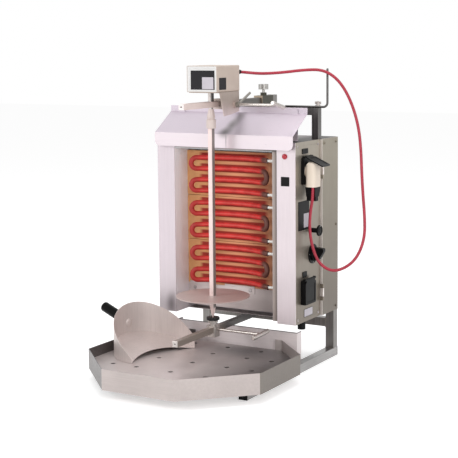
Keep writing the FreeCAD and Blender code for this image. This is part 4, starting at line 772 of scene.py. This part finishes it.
RECESS = recess_tree()
RECESS_LONG = 3.8
RECESS_WIDE = 0.9
RECESS_DEEP = 0.5
RECESS_PROUD = 0.04
# The recesses are black bars flush with each screw's face, painted black as the shade inside a cross recess.
recess_shade_black = coated("recess_shadow", tone(26, 25, 24), tone(40, 38, 36), 0.6, gloss=0.1)


def recesses(name, places, body, along):
    """Cross recesses at the middle of each screw's face; along is the way the faces look."""
    turn = along.to_track_quat("Z", "Y")
    points = [p - along * (RECESS_DEEP / 2 - RECESS_PROUD) * MM for p in places]
    bars = {"Long": (RECESS_LONG * MM, RECESS_WIDE * MM, RECESS_DEEP * MM),
            "Short": (RECESS_WIDE * MM, RECESS_LONG * MM, RECESS_DEEP * MM)}
    settings = {**bars, "Align": turn.to_euler()}
    piece = grown(name, points, [], RECESS, settings, recess_shade_black, body, smooth=False)


HEAD_REACH = 4.0
SCREW_LONGEST = 20.0
side_screws = []
for low, high in solid_boxes("panel_screws"):
    middle = (low + high) / 2
    if abs(high.x - (SPIT.x + FRAME_HALF * MM)) < HEAD_REACH * MM and high.x - low.x < SCREW_LONGEST * MM:
        side_screws.append(Vector((high.x, middle.y, middle.z)))
recesses("control_panel_recesses", side_screws, "root", Vector((1.0, 0.0, 0.0)))

DOOR_FACE = 224.2
SCREW_PROUD = 2.0
CORNER_IN = 12.0
DOOR_REAR = 319.0
LEAF = 14.0
corners = [(DOOR_FRONT + LEAF, CAB_TOP - CORNER_IN), (DOOR_REAR - CORNER_IN, CAB_TOP - CORNER_IN),
           (DOOR_REAR - CORNER_IN, CAB_BOTTOM + CORNER_IN),
           (DOOR_REAR - CORNER_IN, (CAB_TOP + CAB_BOTTOM) / 2)]
recesses("door_screw_recesses", [at(DOOR_FACE + SCREW_PROUD, y, z) for y, z in corners], "side_door",
         Vector((1.0, 0.0, 0.0)))

# ---------------------------------------------------------------- hood
# One folded sheet, from the lip that closes the bay's top up to the flange at the back. It is polished.
# Its lip is painted in a lighter, lit tone, and the dark patches behind the arm are a painted reflection
# of the arm and the bracket above it.
HOOD_LIP = 648.5
hood_steel = brushed_steel("hood_sheet", tone(207, 196, 206), tone(204, 193, 203), "x", 0.32, marks=0.06,
                           shades=[
                               # painted light: the lip in a lighter, lit tone
                               (tone(226, 215, 220), fades("z", HOOD_LIP + 1.0, HOOD_LIP - 1.0)),
                               # painted reflection of the arm and the bracket, darkest low behind the arm
                               (tone(78, 76, 72), patch((6.0, 62.0, 655.0), (30.0, 34.0, 26.0), 0.85)),
                               (tone(110, 107, 104), patch((12.0, 92.0, 671.0), (24.0, 48.0, 34.0), 0.8)),
                               (tone(150, 146, 146), patch((20.0, 124.0, 690.0), (22.0, 44.0, 34.0), 0.6)),
                               (tone(140, 132, 136), patch((13.5, 56.0, 632.0), (3.5, 12.0, 40.0), 0.7))])
dress(hood_steel, "hood")

# ---------------------------------------------------------------- gantry
# Two square posts and a crossbar behind the hood, in dull tube, with the bent rod that guides the lead.
gantry_steel = brushed_steel("gantry_tube", tone(128, 126, 124), tone(84, 82, 81), "z", 0.34, metallic=0.9)
rod_steel = brushed_steel("guide_rod", tone(112, 110, 108), tone(66, 64, 63), "z", 0.3, metallic=0.9)
dress(gantry_steel, "gantry_frame", edge=0.8)
dress(rod_steel, "cord_guide_rod")

# ---------------------------------------------------------------- heating bay
# Three boards of fired clay, and before each one bent tubular element, held by its ends in the bay's
# side. The sheaths are red, and brown at the unheated right-hand bends next to the white ferrules.
BOARD_TOP = 594.6
ELEMENT_TOP = 577.5
ZONES = 3
# How far the painted red glow reaches from each pass, as a share of the pitch.
GLOW_SPILL_FROM = 0.30
GLOW_SPILL_TO = 0.42
BOARD_PITCH = 127.2
PASS_PITCH = 31.0
BEND_FROM = 88.0
BEND_TO = 108.0
# Painted highlight along each pass's crown and painted shade on its underside, as shares of the pitch.
HIGHLIGHT_SHIFT = 0.02
HIGHLIGHT_FROM = 0.02
HIGHLIGHT_TO = 0.06
UNDERSHADE_FROM = 0.12
UNDERSHADE_TO = 0.21
GLOW = (0.26, 0.012, 0.008)
GLOW_STRENGTH = 0.12
UNLIT = (0.0, 0.0, 0.0)


def fired_clay():
    """Sandy clay with a painted glow from the elements: warmer right of the middle, red along each pass;
    greyer towards the ferrules.
    """
    material, tree, shader, coords = new_material("fired_clay")
    clouds = group_node(tree, CLOUDS, coords, Size=16.0, Amount=0.6)
    clay = mixed(tree, clouds, tone(236, 180, 124), tone(222, 162, 108))
    # painted glow: a warmer tint right of the middle
    pale = mixed(tree, fades("x", -90.0, -20.0, 0.7)(tree, coords), clay, tone(226, 156, 120))
    offset = combined(tree, "ABSOLUTE", pass_offset(tree, coords), 0.0)
    # painted glow: red along each pass
    near = ranged(tree, offset, 1.0, 0.0, GLOW_SPILL_FROM, GLOW_SPILL_TO, smooth=True)
    between = combined(tree, "MULTIPLY", fades("x", -124.0, -112.0)(tree, coords),
                       fades("x", 104.0, 88.0)(tree, coords))
    red = mixed(tree, combined(tree, "MULTIPLY", near, between), pale, tone(166, 56, 44))
    # greyer towards the ferrules
    greyer_to_ferrules = mixed(tree, fades("x", 96.0, 128.0, 0.75)(tree, coords), red, tone(168, 134, 106))
    tree.links.new(greyer_to_ferrules, shader.inputs["Base Color"])
    shader.inputs["Roughness"].default_value = 0.85
    grit = tree.nodes.new("ShaderNodeTexNoise")
    grit.inputs["Scale"].default_value = 700.0
    tree.links.new(coords, grit.inputs["Vector"])
    bumped(tree, shader, grit.outputs["Fac"], 0.5, 0.0003)
    return material


def pass_offset(tree, coords):
    """Height above or below the nearest pass, as a share of the pitch from -0.5 to 0.5."""
    parts = tree.nodes.new("ShaderNodeSeparateXYZ")
    tree.links.new(coords, parts.inputs[0])
    boards = ranged(tree, parts.outputs["Z"], float(ZONES), 0.0, (BOARD_TOP - ZONES * BOARD_PITCH) * MM,
                    BOARD_TOP * MM)
    below = combined(tree, "MULTIPLY", combined(tree, "FRACT", boards, 0.0), BOARD_PITCH / PASS_PITCH)
    passes = combined(tree, "SUBTRACT", below, (BOARD_TOP - ELEMENT_TOP) / PASS_PITCH - 0.5)
    return combined(tree, "SUBTRACT", combined(tree, "FRACT", passes, 0.0), 0.5)


def hot_sheath():
    """Red sheath with a painted highlight along its crown and painted shade on its underside, brown at the
    unheated bends.
    """
    material, tree, shader, coords = new_material("hot_sheath")
    cold = ranged(tree, along_axis(tree, coords, "x", BEND_FROM, BEND_TO), 0.0, 1.0, smooth=True)
    straight = ranged(tree, along_axis(tree, coords, "x", -BEND_TO, -BEND_FROM), 0.0, 1.0, smooth=True)
    offset = pass_offset(tree, coords)
    clouds = group_node(tree, CLOUDS, coords, Size=40.0, Amount=1.0)
    bent = mixed(tree, straight, tone(160, 40, 36), tone(206, 46, 42))
    red = mixed(tree, clouds, bent, tone(176, 34, 32))
    from_crown = combined(tree, "ABSOLUTE", combined(tree, "ADD", offset, HIGHLIGHT_SHIFT), 0.0)
    # painted highlight along the crown
    crown = combined(tree, "MULTIPLY", straight,
                     ranged(tree, from_crown, 0.5, 0.0, HIGHLIGHT_FROM, HIGHLIGHT_TO, smooth=True))
    # painted shade on the underside
    under = combined(tree, "MULTIPLY", straight,
                     ranged(tree, offset, 0.0, 0.7, UNDERSHADE_FROM, UNDERSHADE_TO, smooth=True))
    lit = mixed(tree, crown, red, tone(214, 92, 80))
    shaded = mixed(tree, under, lit, tone(96, 26, 22))
    tree.links.new(mixed(tree, cold, shaded, tone(92, 50, 40)), shader.inputs["Base Color"])
    tree.links.new(mixed(tree, cold, GLOW, UNLIT), shader.inputs["Emission Color"])
    shader.inputs["Emission Strength"].default_value = GLOW_STRENGTH
    tree.links.new(ranged(tree, clouds, 0.5, 0.65), shader.inputs["Roughness"])
    flakes = tree.nodes.new("ShaderNodeTexNoise")
    flakes.inputs["Scale"].default_value = 900.0
    tree.links.new(coords, flakes.inputs["Vector"])
    bumped(tree, shader, flakes.outputs["Fac"], 0.3, 0.00008)
    return material


dress(fired_clay(), "ceramic_boards", edge=0.6)
dress(hot_sheath(), *["heating_element_%d" % (zone + 1) for zone in range(ZONES)], edge=0)
glaze = coated("glazed_white", tone(238, 236, 230), tone(214, 210, 202), 0.2, coat=0.4)
dress(glaze, "element_ferrules", "terminal_block")
dress(coated("fibre_blanket", tone(226, 224, 218), tone(206, 202, 194), 0.9, speck=300.0, depth=0.0006),
      "insulation_blanket")

# ---------------------------------------------------------------- arms and spit
# Both arms are 16 mm square tube with welded end plates. The spit is a ground square bar with a loose
# meat disc; a turned sleeve and a square coupling join it to the motor's shaft.
ARM_TIP = -148.4
LOW_ARM_TIP = -193.2
BLOCK_REAR = 263.1
arm_steel = brushed_steel("upper_arm_tube", tone(240, 222, 216), tone(228, 210, 204), "y", 0.36, metallic=0.1,
                          # painted light: the end face in a pale, lit tone
                          shades=[(tone(246, 238, 236), fades("y", ARM_TIP + 0.2, ARM_TIP - 0.2)),
                                  # painted shade: dark from y = 20 mm back, under the motor
                                  (tone(48, 54, 48), fades("y", 20.0, 40.0, 0.95))])
low_arm_steel = brushed_steel("lower_arm_tube", tone(178, 166, 156), tone(146, 134, 126), "y", 0.3,
                              metallic=0.5, shades=[
                                  # painted light: the end face in a pale, lit tone
                                  (tone(240, 234, 230), fades("y", LOW_ARM_TIP + 0.2, LOW_ARM_TIP - 0.2)),
                                  # painted shade: dark towards the back
                                  (tone(44, 47, 52), fades("y", 0.0, 60.0, 0.9))])
# The bar's right-hand face is painted dark, as shade.
bar_steel = brushed_steel("spit_bar", tone(246, 222, 218), tone(236, 214, 210), "z", 0.34, metallic=0.25,
                          shades=[(tone(112, 106, 102), fades("x", 5.2, 6.0, 0.95))])
ground = brushed_steel("ground_steel", tone(204, 197, 192), tone(176, 169, 164), "z", 0.26, metallic=0.8)
lever_steel = brushed_steel("lever_rod", tone(160, 156, 148), tone(128, 124, 118), "y", 0.3, metallic=0.8)
sleeve_steel = coated("turned_sleeve", tone(216, 200, 194), tone(200, 184, 178), 0.36, coat=0.1)
# The disc is painted darker towards the right, as shade.
disc_steel = brushed_steel("meat_disc", tone(204, 190, 186), tone(188, 172, 168), "x", 0.42, marks=0.7,
                           metallic=0.2, shades=[(tone(168, 142, 136), fades("x", -30.0, 70.0, 0.7))])
dress(arm_steel, "upper_arm", edge=0.8)
dress(low_arm_steel, "lower_arm", edge=0.8)
dress(bar_steel, "spit_bar", edge=0.8)
dress(disc_steel, "spit_disc", edge=0.4)
dress(sleeve_steel, "spit_sleeve")
dress(ground, "lower_hub", "upper_clamp_screw", "lower_clamp_screw", "wing_bolt")
dress(lever_steel, "carriage_lever")
dark = coated("blackened_steel", tone(30, 30, 32), tone(44, 43, 42), 0.42, gloss=0.25)
# The coupling's right-hand face is painted black, as shade.
coupling_steel = brushed_steel("coupling_square", tone(236, 230, 226), tone(214, 208, 204), "z", 0.4,
                               metallic=0.8, shades=[(tone(14, 14, 14), fades("x", 2.0, 5.0, 0.95))])
dress(coupling_steel, "drive_coupling", edge=0.4)
dress(dark, "bearing_cup", "gear_motor")
head_steel = brushed_steel("thumbscrew", tone(196, 194, 190), tone(150, 148, 144), "z", 0.28, metallic=0.9)
dress(head_steel, "arm_thumbscrew")
# The block is painted dark behind its front face, as shade on its sides.
block_steel = brushed_steel("arm_block", tone(176, 160, 140), tone(140, 128, 112), "z", 0.34, metallic=0.7,
                            shades=[(tone(44, 50, 43), fades("y", BLOCK_REAR - 0.5, BLOCK_REAR + 0.5, 0.95))])
dress(block_steel, "arm_clamp_block")

# ---------------------------------------------------------------- motor and its carriage
# A folded steel box in beige enamel, closed by a white front frame with a bare dark plate in it. It
# stands on a bracket whose bright cheek hangs down the arm's right side.
beige = coated("beige_enamel", tone(198, 182, 170), tone(186, 170, 158), 0.45)
motor_white = coated("motor_enamel", tone(222, 221, 220), tone(212, 210, 208), 0.45)
cheek_steel = brushed_steel("bracket_cheek", tone(182, 167, 158), tone(164, 149, 140), "z", metallic=0.5,
                            shades=[(tone(222, 206, 203), fades("z", 745.0, 705.0, 0.8))])
dress(beige, "motor_housing")
dress(motor_white, "motor_front_panel")
dress(cheek_steel, "carriage_bracket")
plate_dark = coated("bare_nameplate", tone(34, 33, 36), tone(42, 41, 44), 0.4, gloss=0.15)
plate_light = coated("pale_field", tone(196, 190, 198), tone(182, 176, 184), 0.45)


def flat_plate(name, low, high, axis, radius, material, body):
    """Thin plate with rounded corners, between two corners in millimetres from the spit."""
    shape = bmesh.new()
    bmesh.ops.create_cube(shape, size=1.0)
    first, second = at(*low), at(*high)
    middle = (first + second) / 2
    for vert in shape.verts:
        vert.co = Vector([m + v * (b - a) for m, v, a, b in zip(middle, vert.co, first, second)])
    upright = [e for e in shape.edges if abs((e.verts[0].co - e.verts[1].co)[axis]) > 1e-6]
    bmesh.ops.bevel(shape, geom=upright, offset=radius * MM, segments=5, affect="EDGES", profile=0.5)
    bmesh.ops.recalc_face_normals(shape, faces=shape.faces)
    piece = new_piece(name, mesh_of(name, shape), material, body, smooth=False)


MOTOR_HALF = 46.3
RECESS_FACE = -45.2
flat_plate("motor_nameplate", (-34.5, RECESS_FACE - 0.5, 772.6), (40.0, RECESS_FACE, 823.6),
           axis=1, radius=1.5, material=plate_dark, body="motor_carriage")
flat_plate("motor_nameplate_field", (0.7, RECESS_FACE - 0.62, 774.6), (35.4, RECESS_FACE - 0.45, 806.0),
           axis=1, radius=0.8, material=plate_light, body="motor_carriage")
flat_plate("motor_side_label", (MOTOR_HALF - 0.2, -34.3, 772.4), (MOTOR_HALF + 0.4, 2.0, 804.0),
           axis=0, radius=1.2, material=plate_dark, body="motor_carriage")

# ---------------------------------------------------------------- drip tray
# Deep eight-sided pan of welded sheet with a loose perforated floor, both dulled by fat and washing. The
# darker right side, the dark left facets and the broad dark patch on the floor are painted shade and
# reflection.
floor_steel = brushed_steel("tray_floor", tone(206, 195, 193), tone(192, 181, 179), "x", 0.32, marks=0.5,
                            metallic=0.3, shades=[
                                # painted shade: the floor darker towards the right
                                (tone(40, 38, 38), fades("x", 40.0, 200.0, 0.9)),
                                # painted shade and reflection: a broad dark patch on the floor
                                (tone(62, 62, 64), patch((60.0, 70.0, 51.0), (190.0, 120.0, 60.0), 0.9))])
PAN_RIGHT = 263.0
pan_steel = brushed_steel("tray_pan", tone(194, 184, 181), tone(180, 170, 167), "x", metallic=0.5, shades=[
    # painted shade on the right-hand wall
    (tone(104, 98, 90), fades("x", PAN_RIGHT - 0.4, PAN_RIGHT + 0.4, 0.9)),
    # painted shade on the left-hand facets
    (tone(76, 72, 72), fades("x", -108.0, -110.0, 0.95))])
dress(floor_steel, "tray_floor_plate", edge=0.4)
dress(pan_steel, "tray_pan", edge=0.5)

# ---------------------------------------------------------------- meat scoop
# U-shaped sheet wall with a sloping plate welded inside, and a black bakelite handle on its back,
# held by one large rivet.
scoop_steel = brushed_steel("scoop_sheet", tone(222, 210, 206), tone(206, 194, 190), "z", 0.36, marks=0.5,
                            metallic=0.3)
dress(scoop_steel, "scoop_body", edge=0.3)
bakelite = coated("bakelite", tone(2, 2, 2), tone(6, 6, 6), 0.36, gloss=0.08)
dress(bakelite, "scoop_handle")
SCOOP_TURN = math.radians(-14.8)
SCOOP_X = -133.0
SCOOP_Y = -80.0
SCOOP_INNER = 114.8
RIVET_Z = 122.0
RIVET_R = 12.0
RIVET_HIGH = 4.0


def scoop_rivet():
    """Low domed head on the inside of the back wall, opposite the handle."""
    shape = bmesh.new()
    bmesh.ops.create_uvsphere(shape, u_segments=32, v_segments=16, radius=1.0)
    cut = bmesh.ops.bisect_plane(shape, geom=shape.verts[:] + shape.edges[:] + shape.faces[:],
                                 plane_co=(0.0, 0.0, 0.0), plane_no=(0.0, 0.0, 1.0), clear_inner=True)
    bmesh.ops.holes_fill(shape, edges=[e for e in cut["geom_cut"] if isinstance(e, bmesh.types.BMEdge)])
    inward = Vector((math.cos(SCOOP_TURN), math.sin(SCOOP_TURN), 0.0))
    foot = at(SCOOP_X, SCOOP_Y, RIVET_Z) - inward * (SCOOP_INNER + 0.3) * MM
    size = Matrix.Diagonal((RIVET_R * MM, RIVET_R * MM, RIVET_HIGH * MM, 1.0))
    place = Matrix.Translation(foot) @ inward.to_track_quat("Z", "Y").to_matrix().to_4x4() @ size
    bmesh.ops.transform(shape, matrix=place, verts=shape.verts)
    bmesh.ops.recalc_face_normals(shape, faces=shape.faces)
    return mesh_of("scoop_rivet", shape)


rivet = new_piece("scoop_rivet", scoop_rivet(), scoop_steel, "scoop")

# ---------------------------------------------------------------- sockets and knobs
# Black flanged sockets with sprung lids, a round regulator knob, a bar-handled rotary switch on a grey
# surround, a red lamp, and bare plates where the panel is labelled.
lens = coated("red_lens", tone(176, 20, 44), tone(156, 14, 34), 0.15, coat=0.6)
lid_black = coated("lid_moulding", tone(6, 6, 7), tone(16, 15, 16), 0.4, gloss=0.15)
dress(black, "upper_socket_housing", "lower_socket_housing", "switch_bodies", "regulator_knob",
      "rotary_switch_knob", "mains_gland")
dress(lid_black, "upper_socket_lid", "lower_socket_lid", edge=0.6)
face_material = coated("printed_plates", tone(14, 14, 15), tone(24, 23, 23), 0.42, gloss=0.15)
dress(face_material, "face_plates", edge=0.1)
dress(lens, "indicator_lamp")
SIDE_FACE = 218.8
flat_plate("data_plate_field", (SIDE_FACE - 0.1, 116.0, 398.0), (SIDE_FACE + 0.15, 146.0, 436.0),
           axis=0, radius=1.0, material=plate_light, body="root")
flat_plate("lower_label_field", (SIDE_FACE - 0.1, 119.0, 152.0), (SIDE_FACE + 0.15, 168.0, 172.0),
           axis=0, radius=1.0, material=plate_light, body="root")

REG_Y = 160.0
REG_Z = 386.0
REG_FACE = 247.0
SWITCH_Y = 170.0
SWITCH_Z = 319.5
DIAL_FACE = 220.7
DIAL_STEPS = 4
DIAL_STEP_TURN = 90.0
NUMBER_RING = 23.5
NUMBER_TALL = 5.0
NUMBER_THICK = 0.08
NUMBER_PROUD = 0.05
mark_white = coated("mark_white", tone(214, 212, 208), tone(196, 194, 190), 0.5)
flat_plate("regulator_pointer", (REG_FACE - 0.2, REG_Y - 0.8, REG_Z + 11.2),
           (REG_FACE + 0.1, REG_Y + 0.8, REG_Z + 14.2),
           axis=0, radius=0.3, material=mark_white, body="regulator")


def dial_numbers():
    """Plain numbers 0 to 3 round the rotary switch, as thin raised print on its surround."""
    shape = bmesh.new()
    for number in range(DIAL_STEPS):
        text = bpy.data.curves.new("dial_number", "FONT")
        text.body = str(number)
        text.size = NUMBER_TALL * MM
        text.extrude = NUMBER_THICK * MM
        text.align_x = "CENTER"
        text.align_y = "CENTER"
        holder = bpy.data.objects.new("dial_number", text)
        scene.collection.objects.link(holder)
        mesh = plain_mesh(holder)
        turn = math.radians(DIAL_STEP_TURN * number)
        middle = at(DIAL_FACE + NUMBER_PROUD, SWITCH_Y + NUMBER_RING * math.sin(turn),
                    SWITCH_Z + NUMBER_RING * math.cos(turn))
        upright = Matrix(((0, 0, 1, 0), (1, 0, 0, 0), (0, 1, 0, 0), (0, 0, 0, 1)))
        mesh.transform(Matrix.Translation(middle) @ upright)
        shape.from_mesh(mesh)
    return mesh_of("dial_numbers", shape)


numbers = new_piece("dial_numbers", dial_numbers(), mark_white, "root", smooth=False)
